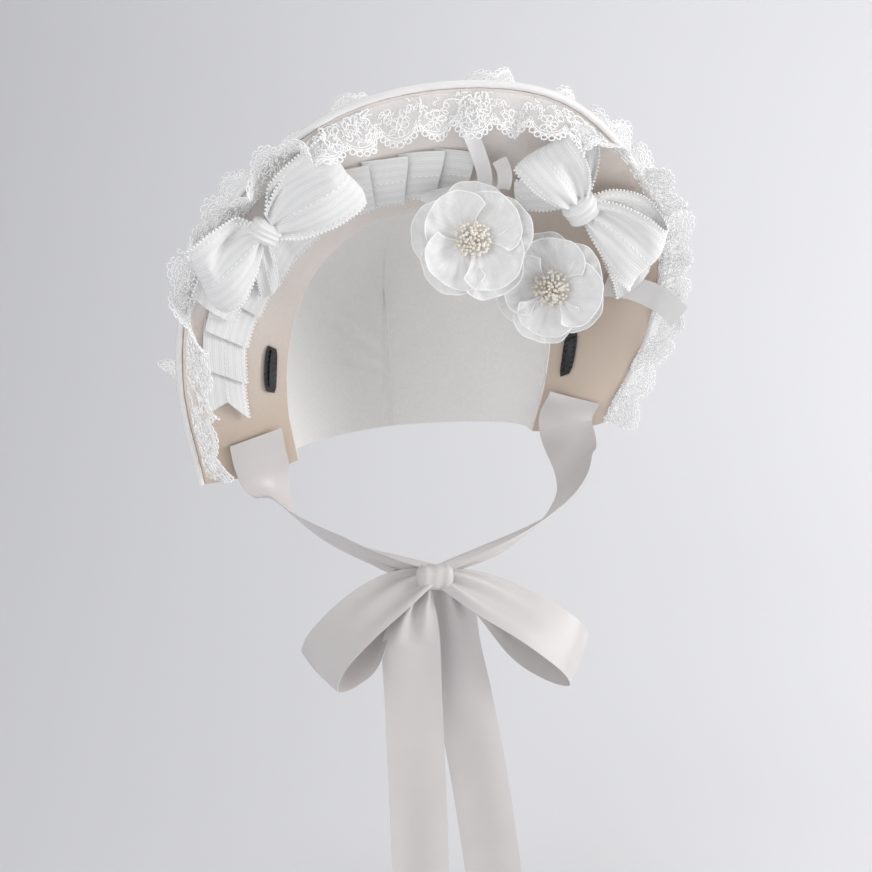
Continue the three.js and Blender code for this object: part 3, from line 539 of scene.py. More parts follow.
def build_lace(name, node, surf, height, pitch, bold, net_mat, seed):
    """Scalloped lace: a sheer net with corded embroidery on it, drawn flat and laid on the ruffle."""
    rng = np.random.default_rng(seed)
    s_line = np.linspace(-0.985, 0.985, 3000)
    line = surf(s_line, np.full(3000, 0.62))
    arc_line = np.concatenate([[0], np.cumsum(np.linalg.norm(np.diff(line, axis=0), axis=1))])
    length = float(arc_line[-1])
    count = int(round(length / pitch))
    pitch = length / count
    at = lambda x: np.interp(x, arc_line, s_line)
    top = lambda x: height * (0.62 + 0.38 * np.abs(np.sin(math.pi * x / pitch)) ** 0.7) * (0.95 + 0.05 * np.sin(0.061 * x + seed))
    nx, ny = count * 12, 10
    x, j = np.meshgrid(np.linspace(0, length, nx + 1), np.linspace(0, 1, ny + 1), indexing="ij")
    y = (top(x) - 1.2) * j
    V, F, U = solid_grid(surf(at(x), y / height), 0.14, np.stack([x, y], -1))
    net = make(name + "_net", V, F, net_mat, node, U, 60)
    groups = {}

    def draw(xy, radius, closed, sides):
        xy = np.asarray(xy, float)
        xy = xy if xy.ndim == 3 else xy[None]
        groups.setdefault((xy.shape[1], closed, sides), []).append((xy, np.full(len(xy), radius)))

    loop = lambda n: np.stack([np.cos(np.arange(n) * 2 * np.pi / n), np.sin(np.arange(n) * 2 * np.pi / n)], -1)
    dense = rng.random(count) < 0.6
    for k in range(count):
        x0 = k * pitch
        mx = x0 + pitch / 2
        xs = np.linspace(x0, x0 + pitch, 80)
        ys = top(xs)
        arc = np.concatenate([[0], np.cumsum(np.hypot(np.diff(xs), np.diff(ys)))])
        step = 4.0
        n = int(arc[-1] / step)
        d = (np.arange(n) + 0.5) * arc[-1] / n
        c = np.stack([np.interp(d, arc, xs), np.interp(d, arc, ys) - 0.6], -1)
        draw(c[:, None] + loop(8)[None] * rng.uniform(1.6, 2.05, n)[:, None, None], 0.60 if bold else 0.50, True, 4)
        for inset, rad in ((3.2, 0.55), (5.0, 0.38)):
            xx = np.linspace(x0 + 0.3, x0 + pitch - 0.3, 15)
            draw(np.stack([xx, top(xx) - inset], -1), rad, False, 4)
        # a flower of corded loops with two leafy branches
        if not (bold and dense[k]):
            c = np.array([mx + rng.uniform(-1, 1), height * 0.56])
            draw(c + loop(8) * 1.5, 0.5, True, 4)
            for q in range(5):
                a = q * math.pi / 2.5 + rng.uniform(-0.2, 0.2)
                e, f = np.array([math.cos(a), math.sin(a)]), np.array([-math.sin(a), math.cos(a)])
                draw(c + e * 4.3 + loop(10)[:, :1] * e * 2.5 + loop(10)[:, 1:] * f * 1.7, 0.48, True, 4)
            for side in (-1, 1):
                u = np.linspace(0, 1, 11)
                sx = mx + side * (pitch * 0.44 * u + 1.4 * np.sin(math.pi * 2 * u))
                sy = height * (0.36 - 0.2 * u + 0.06 * np.sin(math.pi * 2 * u))
                draw(np.stack([sx, sy], -1), 0.42, False, 4)
                for q in (0.3, 0.62, 0.92):
                    b = np.array([np.interp(q, u, sx), np.interp(q, u, sy)])
                    a = math.atan2(1.0, side * 0.7) + rng.uniform(-0.3, 0.3)
                    e, f = np.array([math.cos(a), math.sin(a)]), np.array([-math.sin(a), math.cos(a)])
                    draw(b + e * 2.4 + loop(8)[:, :1] * e * 1.9 + loop(8)[:, 1:] * f * 1.0, 0.40, True, 4)
        # wandering cords that fill the ground: thick and close in some scallops, few in others
        cell = 3.0 if bold else 3.8
        gx, gy = np.meshgrid(np.arange(x0, x0 + pitch, cell), np.arange(height * 0.03, height * 0.95, cell * 0.92), indexing="ij")
        c = np.stack([gx, gy], -1).reshape(-1, 2) + rng.uniform(-0.45, 0.45, (gx.size, 2)) * cell
        mid = np.exp(-(((c[:, 0] - mx) / (0.42 * pitch)) ** 4))
        share = (0.16 + 0.76 * mid) if (bold and dense[k]) else (0.10 if bold else 0.06)
        c = c[(c[:, 1] < top(c[:, 0]) - 5.2) & (rng.random(len(c)) < share)]
        if len(c):
            u = np.linspace(-1, 1, 7)
            size = rng.uniform(0.85, 1.2, (len(c), 1))
            half, bend = (2.8, 1.3) if bold else (2.5, 1.2)
            kind = rng.random((len(c), 1)) < 0.5
            X = half * size * u[None]
            Y = np.where(kind, bend * np.sin(math.pi * u)[None], bend * (1.6 * (1 - u**2) - 0.8)[None]) * size
            a = rng.uniform(0, 2 * math.pi, (len(c), 1))
            draw(np.stack([c[:, :1] + X * np.cos(a) - Y * np.sin(a), c[:, 1:] + X * np.sin(a) + Y * np.cos(a)], -1), 0.70 if bold else 0.50, False, 3)
    pile = Pile()
    for (n, closed, sides), items in groups.items():
        xy = np.concatenate([i[0] for i in items])
        xx, yy = np.clip(xy[..., 0], 0.01, length - 0.01), np.maximum(xy[..., 1], 0.2)
        s, h = at(xx), yy / height
        Q = surf(s, h)
        N = unit(np.cross(surf(s + 5e-4, h) - surf(s - 5e-4, h), surf(s, h + 4e-3) - surf(s, h - 4e-3)))
        V, F = tubes(Q, N, np.concatenate([i[1] for i in items]), sides, closed, 0.85)
        pile.add(V, F)
    V, F, U = pile.all()
    thread = make(name + "_embroidery", V, F, THREAD_M, (), None, 180)


# ------------------------------------------------------------------ ribbons
def picots(P, pile, step=2.5, r=0.95, sides=(0, -1), ladder=True):
    """Picot loops along a ribbon's long edges, with a row of small stitches inside each and down the middle."""
    n = P.shape[1] - 1
    N = grid_normals(P)

    def row(j, radius):
        """Short raised stitches, end to end with gaps, along one line of the ribbon."""
        line, nrm = P[:, j], N[:, j]
        arc = np.concatenate([[0], np.cumsum(np.linalg.norm(np.diff(line, axis=0), axis=1))])
        d = np.arange(1.0, arc[-1] - 2.6, 3.9)
        if len(d) == 0:
            return
        u = d[:, None] + np.linspace(0, 2.3, 4)[None]
        at = lambda A: np.stack([np.interp(u, arc, A[:, i]) for i in range(3)], -1)
        V, F = tubes(at(line), unit(at(nrm)), radius, 4, False, 1.3)
        pile.add(V, F)

    for j in sides:
        e, inner = P[:, j], P[:, 1 if j == 0 else -2]
        arc = np.concatenate([[0], np.cumsum(np.linalg.norm(np.diff(e, axis=0), axis=1))])
        d = np.arange(step / 2, arc[-1], step)
        at = lambda A: np.stack([np.interp(d, arc, A[:, i]) for i in range(3)], -1)
        V, F = beads(at(e) + unit(at(e - inner)) * 0.55, r)
        pile.add(V, F)
        row(max(1, n // 12) if j == 0 else n - max(1, n // 12), 0.42)
    if ladder:
        row(n // 2, 0.55)


def ribbon(name, node, P, thick, mat, picot=None):
    V, F, U = solid_grid(P, thick, flat_uv(P))
    o = make(name, V, F, mat, node, U, 50)
    with_pieces = []
    if picot:
        pile = Pile()
        picots(P, pile, **picot)
        V, F, _ = pile.all()
        with_pieces = [make(name + "_picots", V, F, PICOT_M, (), None, 180)]
    return o


def build_band():
    s0, s1 = BAND[0, 0], BAND[-1, 0]
    step = (s1 - s0) / PLEATS
    nv = 26
    pile, beadpile = Pile(), Pile()
    for i in range(PLEATS):
        a, b = s0 + i * step, s0 + (i + 1) * step
        lower = (a + b) / 2 < -0.4
        t = np.linspace(-0.10, 1.10, 16)
        s = np.clip(a + (b - a) * t, s0, s1)
        lo, hi = table(BAND, s, 1), table(BAND, s, 2)
        x = t if not lower else 1 - t
        top = 2.1 + 2.9 * np.clip(x, 0, 1.1) ** 1.2 + 0.25 * np.sin(math.pi * x)
        skew = 0.012 * math.sin(2.3 * i) * (t - 0.5)
        v = np.linspace(0, 1, nv + 1)
        S = np.repeat(s[:, None], nv + 1, 1) + 0.006 * math.sin(1.7 * i) * (v[None] - 0.5)
        if i == 0:  # the low end is cut to a swallow tail
            S = S + (0.034 * (1 - np.abs(2 * v - 1))[None] - 0.018) * (1 - np.clip(t, 0, 1))[:, None] ** 2
        Vv = lo[:, None] + (hi - lo)[:, None] * v[None] + skew[:, None]
        Up = np.repeat(top[:, None], nv + 1, 1) + 0.5 * np.sin(math.pi * v)[None] * (x[:, None] > 0.2) + 0.35 * np.sin(7 * v + i)[None] * x[:, None]
        P = on(S, Vv, Up)
        uvs = flat_uv(P)
        Vt, F, U = solid_grid(P, 0.5, uvs)
        pile.add(Vt, F, U)
        picots(P, beadpile, 2.5, 0.85, (0,))
    V, F, U = pile.all()
    o = make("pleated_ribbon", V, F, RIBBON_M, "pleated_band", U, 50)
    V, F, _ = beadpile.all()
    q = make("pleated_ribbon_picots", V, F, PICOT_M, (), None, 180)


BOWS = {  # loops: along, across (mm on the brim face), half width, fold phase, side of the hollow, slant of the far end, droop, slip, lip, hollow
    "left": dict(s0=-0.43, v0=0.83,
                 loops=[("loop_upper", 72, -8, 24, 0.6, -1, -0.42, 15, -7, 0, 5.5), ("loop_lower", -54, 21, 21, 2.1, 1, 0, -12, 7, 0, 10.5)],
                 tails=[("tail_a", -66, 0, 18), ("tail_b", -30, -38, 9)]),
    "right": dict(s0=0.36, v0=0.58,
                  loops=[("loop_upper", -52, 17, 20, 1.3, 1, 0.29, 0, -20, 0, 5), ("loop_lower", 69, 30, 20, 2.9, -1, 0, 0, 5, 5, 5)],
                  tails=[("tail_a", 85, 16, 14), ("tail_b", -46, -26, 11)]),
}


def gather(v, half, most, phase, folds=3):
    """Folds across a ribbon where it is drawn in, deep enough to take up its spare width."""
    f = np.clip(half / most, 0.2, 1)
    deep = np.minimum(np.sqrt(1 / f**2 - 1) * 1.3 * half / (math.pi * folds), 3.2)
    return deep * np.cos(2 * math.pi * folds * v + phase)


def knot(name, node, at, half, axes, mat, folds, seed):
    """A ribbon wrapped round as a knot: a soft barrel with drawn folds that run round it."""
    n, m = 40, 26
    a, b = np.meshgrid(np.linspace(0, 2 * np.pi, n + 1)[:-1], np.linspace(-1, 1, m + 1), indexing="ij")
    r = (1 - np.abs(b) ** 3.2) ** 0.42
    r = np.maximum(r, 0.02)
    fold = 1 + 0.045 * np.cos(folds * math.pi * b + 0.8 * np.sin(2 * a + seed)) * (1 - b**4) + 0.03 * np.sin(3 * a + seed)
    pinch = 1 - 0.10 * np.exp(-((b) / 0.5) ** 2)
    sup = lambda c, p: np.sign(c) * np.abs(c) ** p
    X = b * half[0]
    Y = sup(np.cos(a), 0.8) * r * fold * pinch * half[1]
    Z = sup(np.sin(a), 0.8) * r * fold * pinch * half[2]
    P = at + X[..., None] * axes[0] + Y[..., None] * axes[1] + Z[..., None] * axes[2]
    V = P.reshape(-1, 3)
    k = np.arange(n * (m + 1)).reshape(n, m + 1)
    l = np.roll(k, -1, 0)
    F = np.stack([k[:, :-1], l[:, :-1], l[:, 1:], k[:, 1:]], -1).reshape(-1, 4).tolist()
    F += [k[:, 0].tolist(), k[::-1, -1].tolist()]
    uv = np.stack([a * half[1], X], -1).reshape(-1, 2)
    c = P.reshape(-1, 3).mean(0)
    q = V[F[5]]
    if np.dot(np.cross(q[1] - q[0], q[2] - q[0]), q.mean(0) - c) < 0:
        F = [f[::-1] for f in F]
    return make(name, V, F, mat, node, uv, 60)


def build_bows():
    for side, bow in BOWS.items():
        along, out, off = brim_frame(np.array(bow["s0"]), np.array(bow["v0"]))
        ls, lv = np.linalg.norm(along), np.linalg.norm(out)
        spot = lambda a, b, c: on(bow["s0"] + a / ls, bow["v0"] + b / lv, BOW_LIFT + c)
        for name, da, db, half, phase, hand, skew, droop, slip, lip, sink in bow["loops"]:
            ln = math.hypot(da, db)
            d, e = np.array([da, db]) / ln, np.array([-db, da]) / ln
            start = BOW_KNOT[0] - 1.0
            way = LOOP_WAY.copy()
            way[:, 0] = start + (ln - start) * way[:, 0]
            way[:, 2] *= half
            way[[0, -1], 1] *= 0.9
            nu, nv = 96, 40
            rows = spline(way, np.linspace(0, 1, nu + 1))
            v = np.linspace(0, 1, nv + 1)[None]
            o, up, hw = (rows[:, i][:, None] for i in range(3))
            w = (2 * v - 1) * hw
            face = np.cos(np.linspace(0, math.pi, nu + 1))[:, None]  # 1 on the side that shows, -1 underneath
            show = np.clip(face * 1.6, 0, 1)
            far = np.clip(o / ln, 0, 1)
            # a long hollow off to one side of the middle, as a soft loop sinks in, and a fuller swell beside it
            c = 0.5 - 0.17 * hand
            hollow = -sink * np.exp(-(((v - c - 0.10 * hand * (far - 0.5)) / 0.12) ** 2)) * np.sin(math.pi * np.clip(1.25 * far - 0.06, 0, 1))
            swell = 2.2 * np.exp(-(((v - c - 0.42 * hand) / 0.2) ** 2)) * np.sin(math.pi * np.clip(1.15 * far, 0, 1))
            lift = up + lip * smooth(far * 1.5 - 0.45) * np.clip(face * 3, 0, 1) + gather(v, hw, half, phase) * np.exp(-((far / 0.5) ** 2)) * 0.9 + (hollow + swell) * show - abs(droop) * smooth((2 * v - 1) * np.sign(droop)) * smooth(far * 4 - 0.1) * (face > -0.2)
            flare = np.sin(math.pi * 2.3 * v + phase) * smooth(far * 1.8 - 0.8)
            oo = o + 2.2 * flare - 2.0 * (2 * v - 1) ** 2 * smooth(far * 1.8 - 0.8) + skew * w * far**2
            w = w + slip * np.clip(-face, 0, 1) * np.sin(math.pi * np.clip(far, 0, 0.9) / 1.8)
            P = spot(d[0] * oo + e[0] * w, d[1] * oo + e[1] * w, lift + 0.8 * flare)
            ribbon(f"bow_{side}_{name}_ribbon", f"bow_{side}_{name}", P, 0.5, RIBBON_M,
                   dict(step=2.5))
        for q, (name, da, db, half) in enumerate(bow["tails"]):
            ln = math.hypot(da, db)
            d, e = np.array([da, db]) / ln, np.array([-db, da]) / ln
            start = BOW_KNOT[0] + 1.0
            nu, nv = 40, 18
            u, v = np.meshgrid(np.linspace(0, 1, nu + 1), np.linspace(0, 1, nv + 1), indexing="ij")
            o = start + (ln - start) * u
            hw = half * (0.55 + 0.45 * smooth(u * 1.6))
            w = (2 * v - 1) * hw
            o = o + 1.6 * np.sin(math.pi * v + q) * u
            lift = -7.6 - 1.3 * smooth(u) + gather(v, hw, half, q, 2) * 0.8 + 1.3 * np.sin(math.pi * 1.8 * v + 4 * u + q) * u
            P = spot(d[0] * o + e[0] * w, d[1] * o + e[1] * w, lift)
            ribbon(f"bow_{side}_{name}_ribbon", f"bow_{side}_{name}", P, 0.5, RIBBON_M,
                   dict(step=2.5))
        ax = [unit(along), None, off]
        ax[1] = unit(out - ax[0] * np.dot(out, ax[0]))
        knot(f"bow_{side}_knot_ribbon", f"bow_{side}_knot", spot(0, 0, 0), BOW_KNOT if side == "left" else (9.5, 12.5, 9.2), ax, RIBBON_M, 4, 1.0 if side == "left" else 2.0)


# ------------------------------------------------------------------ flowers
FLOWERS = {
    "upper": dict(at=(16.2, -77, -15.2), face=(-0.2, -0.97, 0.08), radius=41.0, turn=0.35, stem=(0.08, 0.1, 2, 17)),
    "lower": dict(at=(75.5, -57, -51), face=(-0.36, -0.93, 0.02), radius=38.5, turn=1.25, stem=(0.46, 0.14, 16, 10)),
}


def build_flowers():
    for name, fl in FLOWERS.items():
        rng = np.random.default_rng(11 if name == "upper" else 23)
        at, face = np.array(fl["at"], float), unit(np.array(fl["face"], float))
        side = -unit(np.cross((0, 0, 1), face))
        up = np.cross(side, face)
        up = up if up[2] > 0 else -up
        put = lambda x, y, z: at + x[..., None] * side + y[..., None] * up + z[..., None] * face
        for layer, R, count, span, base, cup, turn in (
                ("outer", fl["radius"], 5, 0.84, 0.3, 5.0, fl["turn"]), ("inner", fl["radius"] * 0.88, 4, 1.08, 4.0, 10.5, fl["turn"] + 0.5)):
            pile, rims, area = Pile(), Pile(), 0.0
            for k in range(count):
                mid = turn + 2 * math.pi * k / count + rng.uniform(-0.08, 0.08)
                r0 = R * rng.uniform(0.9, 1.0)
                deep, lean, ph = cup * rng.uniform(0.75, 1.25), rng.uniform(1.2, 2.4), rng.uniform(0, 6)
                nu, nv = 64, 22
                a, v = np.meshgrid(np.linspace(-1, 1, nu + 1), np.linspace(0, 1, nv + 1), indexing="ij")
                notch = 1 - 0.31 * np.abs(a) ** 2.8 + 0.013 * np.sin(6.5 * a + ph) + 0.006 * np.sin(15 * a + 2 * ph)
                rr = r0 * (0.05 + 0.95 * v) * (1 - (1 - notch) * v)
                ang = mid + a * span * (0.72 + 0.28 * v)
                z = (base + deep * v**1.5 + lean * a * v - 2.0 * (1 - a * a) * np.sin(math.pi * v) * 0.6 + 1.5 * v**3 * np.sin(3.4 * a + ph)
                     + 0.7 * v**3 * np.sin(8 * a + 1.7 * ph) + 1.3 * v * (1 - v) ** 1.5 * np.sin(9 * a + 3 * v + ph) + 0.75 * v * np.sin(17 * a + 5 * np.sin(3.1 * v + ph) + ph) * (1 - 0.45 * v) - 1.7 * smooth((v - 0.78) / 0.22) + 0.35 * k % 1.0)
                P = put(rr * np.cos(ang), rr * np.sin(ang), z)
                uv = np.stack([rr, a * span * R * 0.6], -1)
                V, F, U = solid_grid(P, 0.22, uv)
                pile.add(V, F, U)
                area += float(np.linalg.norm(np.cross(np.diff(P, axis=0)[:, :-1], np.diff(P, axis=1)[:-1]), axis=2).sum()) * 1e-6
                N = grid_normals(P)
                border = np.concatenate([P[0, 6:], P[1:-1, -1], P[-1, 6:][::-1]])
                bn = np.concatenate([N[0, 6:], N[1:-1, -1], N[-1, 6:][::-1]])
                V, F = tubes(border[None], bn[None], 0.42, 6)
                rims.add(V, F)
            V, F, U = pile.all()
            o = make(f"flower_{name}_{layer}_petals", V, F, ORGANZA_M, f"flower_{name}_petals_{layer}", U, 70)
            V, F, _ = rims.all()
            rim = make(f"flower_{name}_{layer}_rims", V, F, RIM_M, (), None, 180)
        # stamens: pearl heads on fine stalks
        n = 78
        k = np.arange(n)
        rad = 11.8 * np.sqrt((k + 0.5) / n) * rng.uniform(0.92, 1.06, n)
        ang = k * 2.39996 + rng.uniform(-0.2, 0.2, n)
        z = 9.5 + 4.6 * (1 - (rad / 13) ** 2) + rng.uniform(-0.8, 0.8, n)
        C = put(rad * np.cos(ang), rad * np.sin(ang), z)
        pile = Pile()
        V, F = beads(C, rng.uniform(1.1, 1.45, n))
        pile.add(V, F)
        root = put(rad * 0.35 * np.cos(ang), rad * 0.35 * np.sin(ang), np.full(n, 5.0))
        t = np.linspace(0, 1, 5)[None, :, None]
        line = root[:, None] * (1 - t) + C[:, None] * t + face * (1.2 * np.sin(math.pi * t))
        V, F = tubes(line, np.broadcast_to(unit(np.cross(unit(C - root), (0.3, 0.2, 0.9)))[:, None], line.shape), 0.22, 4)
        pile.add(V, F)
        V, F, _ = pile.all()
        make(f"flower_{name}_stamen_cluster", V, F, PEARL_M, f"flower_{name}_stamens", None, 180)


# ------------------------------------------------------------------ narrow ribbons, leaves, clips
NARROW = [
    ("sprig_ribbon_a", 5.0, [[0.118, 0.3, 7], [0.1, 0.43, 8], [0.072, 0.58, 8.5], [0.035, 0.78, 8]], ["brim_cloth"]),
    ("sprig_ribbon_b", 5.0, [[0.165, 0.32, 7], [0.157, 0.40, 8.5], [0.142, 0.48, 9.2], [0.12, 0.56, 10]], ["brim_cloth"]),
    ("ribbon_end_right", 7.0, [[0.6, 0.5, 5.5], [0.64, 0.68, 6], [0.68, 0.85, 7.5], [0.715, 1.0, 11], [0.745, 1.14, 17], [0.765, 1.22, 21]], ["brim_cloth"]),
]
LEAVES = [("organza_leaf_a", 0.02, 0.24, 9, 34, 17, 10), ("organza_leaf_b", 0.21, 0.16, 9, 34, 18, -20)]
CLIPS = [("clip_left", -0.71), ("clip_right", 0.75)]


def build_small():
    for name, half, rows, rests in NARROW:
        nu, nv = 48, 10
        r = spline(rows, np.linspace(0, 1, nu + 1))
        g = np.gradient(r, axis=0)
        v = np.linspace(0, 1, nv + 1)
        along, out, _ = brim_frame(np.clip(r[:, 0], -0.99, 0.99), np.clip(r[:, 1], 0, 1))
        ls, lv = np.linalg.norm(along, axis=1), np.linalg.norm(out, axis=1)
        da, db = g[:, 0] * ls, g[:, 1] * lv
        m = np.hypot(da, db)
        k = (2 * v[None] - 1) * half
        S = r[:, :1] - (db / m / ls)[:, None] * k
        Vv = r[:, 1:2] + (da / m / lv)[:, None] * k
        P = on(S, Vv, r[:, 2:3] + 0.7 * (2 * v[None] - 1) ** 2 + 0.4 * np.sin(np.linspace(0, 9, nu + 1))[:, None] * v[None])
        wide = float(np.linalg.norm(np.diff(P, axis=1), axis=2).sum(1).mean()) * MM
        ribbon(name + "_satin", name, P, 0.4, SHEER_M if name == "ribbon_end_right" else BINDING_M)
    for name, s, v0, up, long, wide, turn in LEAVES:
        along, out, _ = brim_frame(np.array(s), np.array(v0))
        ls, lv = np.linalg.norm(along), np.linalg.norm(out)
        c, n = math.cos(math.radians(turn)), math.sin(math.radians(turn))
        u, v = np.meshgrid(np.linspace(0, 1, 41), np.linspace(0, 1, 17), indexing="ij")
        a = (u - 0.5) * long
        b = (v - 0.5) * wide * (0.12 + 0.88 * np.sin(math.pi * np.clip(u, 0.02, 0.98)) ** 0.8)
        lift = up + 2 * np.sin(math.pi * u) + 1.1 * np.sin(6 * u + 5 * v) * np.abs(v - 0.5) * 2 - 1.2 * (1 - (2 * v - 1) ** 2)
        P = on(s + (a * c - b * n) / ls, v0 + (a * n + b * c) / lv, lift)
        ribbon(name + "_organza", name, P, 0.22, ORGANZA_M)
    for name, s in CLIPS:
        along, out, _ = brim_frame(np.array(s), np.array(0.2))
        ls, lv = np.linalg.norm(along), np.linalg.norm(out)
        pile = Pile()
        spot = lambda a, b, c: on(s + a / ls, 0.2 + b / lv, c)
        u, v = np.meshgrid(np.linspace(-1, 1, 31), np.linspace(-1, 1, 9), indexing="ij")
        for lo, hi, wide, c0 in ((-17, 17, 5.4, 2.4), (-13, 15, 2.2, 4.0)):
            a = (lo + hi) / 2 + u * (hi - lo) / 2
            b = v * wide * (1 - 0.35 * np.abs(u) ** 4)
            V, F, _ = solid_grid(spot(a, b, c0 + 0.5 * (1 - u**2)), 0.9, np.zeros(u.shape + (2,)))
            pile.add(V, F)
        for q in range(7):
            a0 = -12 + 4 * q
            t = np.linspace(0, 1, 8)
            line = spot(a0 + 0 * t, -5 + 10 * t, 3.4 + 0.7 * np.sin(math.pi * t))
            V, F = tubes(line[None], np.broadcast_to(brim_frame(np.array(s), np.array(0.2))[2], line.shape)[None], 0.5, 4)
            pile.add(V, F)
        V, F, _ = pile.all()
        make(name + "_metal", V, F, BLACK_M, name, None, 45)


# ------------------------------------------------------------------ chin ties and bow
TIES = {
    "left": ((-0.9, -0.97), 0.42, [[-106, 6, -186], [-94, -22, -199], [-75, -58, -208], [-54, -89, -214], [-29, -103, -220]]),
    "right": ((0.9, 0.97), 0.40, [[108, 2, -180], [94, -26, -194], [66, -60, -204], [28, -89, -211], [-21, -103, -220]]),
}
HEAD_MID = np.array([0, -30, -120.0])
CHIN = np.array([-25, -108, -223.0])
CHIN_KNOT = (12.2, 8.8, 8.6)
CHIN_LOOPS = {"left": ([-106, -113, -275], [0.417, -0.765, -0.49]), "right": ([66, -103, -293], [-0.658, -0.49, -0.572])}
CHIN_TAILS = {
    "left": [[-34, -108, -226, 5], [-40, -109.5, -239, 11], [-43.4, -110, -250, 15.8], [-45.6, -108, -266, 19], [-45.5, -105, -304, 19], [-46, -105, -358, 19], [-47, -105, -424, 19]],
    "right": [[-24, -105, -226, 6], [-19.5, -99, -239, 13], [-17.2, -97, -254, 18], [-15.5, -96, -274, 19], [-9, -96, -312, 19], [-1.5, -96, -366, 19], [5.8, -96, -440, 19]],
}


def build_ties():
    for side, (ss, v0, rows) in TIES.items():
        sign = -1 if side == "left" else 1
        way = np.vstack([on(np.array(ss), np.array([v0, v0]), np.array([BRIM_THICK / 2 + 3] * 2)), rows])
        nu, nv = 120, 16
        u = np.linspace(0, 1, nu + 1)
        pts = spline(way, u)
        t = unit(np.gradient(pts, axis=0))
        rnd = unit(np.cross(t, pts - HEAD_MID)) * sign
        fb = unit(brim_frame(np.array(ss[1]), np.array(v0))[1])
        k = smooth((u - 0.16) / 0.25)[:, None]
        w = fb * (1 - k) + rnd * k
        w = unit(w - t * (w * t).sum(1, keepdims=True))
        half = TIE_W / 2 * (1 - 0.6 * smooth((u - 0.72) / 0.28))
        v = np.linspace(0, 1, nv + 1)
        n = np.cross(t, w)
        g = gather(v[None], half[:, None], TIE_W / 2, 0.5 if side == "left" else 2.2, 2)
        P = pts[:, None] + w[:, None] * ((2 * v[None] - 1) * half[:, None])[..., None] + n[:, None] * (g + 0.5 * np.sin(5 * u)[:, None] * (2 * v[None] - 1))[..., None]
        ribbon(f"tie_{side}_satin", f"tie_{side}", P, 0.45, SATIN_SHADED_M)
    knot("chin_bow_knot_satin", "chin_bow_knot", CHIN + (-3.2, -0.6, 0.2), CHIN_KNOT, [np.array([1.0, 0, 0]), np.array([0, 1.0, 0]), np.array([0, 0, 1.0])], SATIN_SHADED_M, 3, 0.4)
    for side, (end, axis) in CHIN_LOOPS.items():
        d = np.array(end, float) - CHIN
        ln = np.linalg.norm(d)
        d /= ln
        ax = np.array(axis)
        ax = unit(ax - d * np.dot(ax, d))
        t = np.cross(d, ax)
        t = -t if t[1] > 0 else t
        start = 4.0
        path = CHIN_WAY.copy()
        path[:, 0] = start + (ln - start) * path[:, 0]
        path[:, 2] *= TIE_W / 2
        nu, nv = 110, 24
        r = spline(path, np.linspace(0, 1, nu + 1))
        v = np.linspace(0, 1, nv + 1)[None]
        o, upw, hw = (r[:, i][:, None] for i in range(3))
        far = np.clip(o / ln, 0, 1)
        folds = gather(v, hw, TIE_W / 2, 1.0 if side == "left" else 2.6, 2) * np.exp(-((far / 0.5) ** 2))
        swell = 1.4 * np.sin(2.6 * v + 5 * far + (0.4 if side == "left" else 2.0)) * np.sin(math.pi * far)
        curl = 1.5 * np.sin(math.pi * v + 0.4) * smooth(far)
        rise = (7.0 if side == "left" else 3.5) * np.sin(math.pi * np.clip(far, 0, 1) ** 0.75) * np.clip(0.4 + 0.6 * np.sign(upw), 0, 1)
        rise = rise + (17.0 if side == "left" else 6.0) * (1 - smooth((far - 0.3) / 0.5)) * smooth(far * 6) * smooth(0.5 - upw / 5)
        P = CHIN + d * (o + curl)[..., None] + t * (upw + folds + swell)[..., None] + ax * ((2 * v - 1) * hw - rise)[..., None]
        ribbon(f"chin_loop_{side}_satin", f"chin_loop_{side}", P, 0.45, SATIN_SHADED_M)
    for side, rows in CHIN_TAILS.items():
        nu, nv = 110, 20
        u = np.linspace(0, 1, nu + 1)
        r = spline(rows, u)
        v = np.linspace(0, 1, nv + 1)[None]
        hw = r[:, 3:4]
        P = np.stack([r[:, :1] + 0.985 * (2 * v - 1) * hw, r[:, 1:2] + (-0.07 if side == "left" else -0.1) * (2 * v - 1) * hw, np.repeat(r[:, 2:3], nv + 1, 1)], -1)
        g = gather(v, hw, 19.0, 0.3 if side == "left" else 1.8, 2) + 1.1 * np.sin(math.pi * (2 * v - 1)) * np.sin(4.4 * u + (0 if side == "left" else 1.4))[:, None] * smooth(u * 3)[:, None]
        P[..., 1] += g
        ribbon(f"chin_tail_{side}_satin", f"chin_tail_{side}", P, 0.45, SATIN_SHADED_M)


build_brim()
build_binding()
build_crown()
build_lace("lace_front", "lace_front", lace_front, LACE_FRONT_H, 25.0, True, NET_FRONT_M, 3)
build_lace("lace_back", "lace_back", lace_back, LACE_BACK_H, 25.0, False, NET_BACK_M, 5)
build_band()
build_bows()
build_flowers()
build_small()
build_ties()
for stem in ("flower_upper_stem", "flower_lower_stem"):
    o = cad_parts[stem]
    o.data.materials.clear()
    o.data.materials.append(thread_mat(stem + "_thread", (0.86, 0.83, 0.78)))


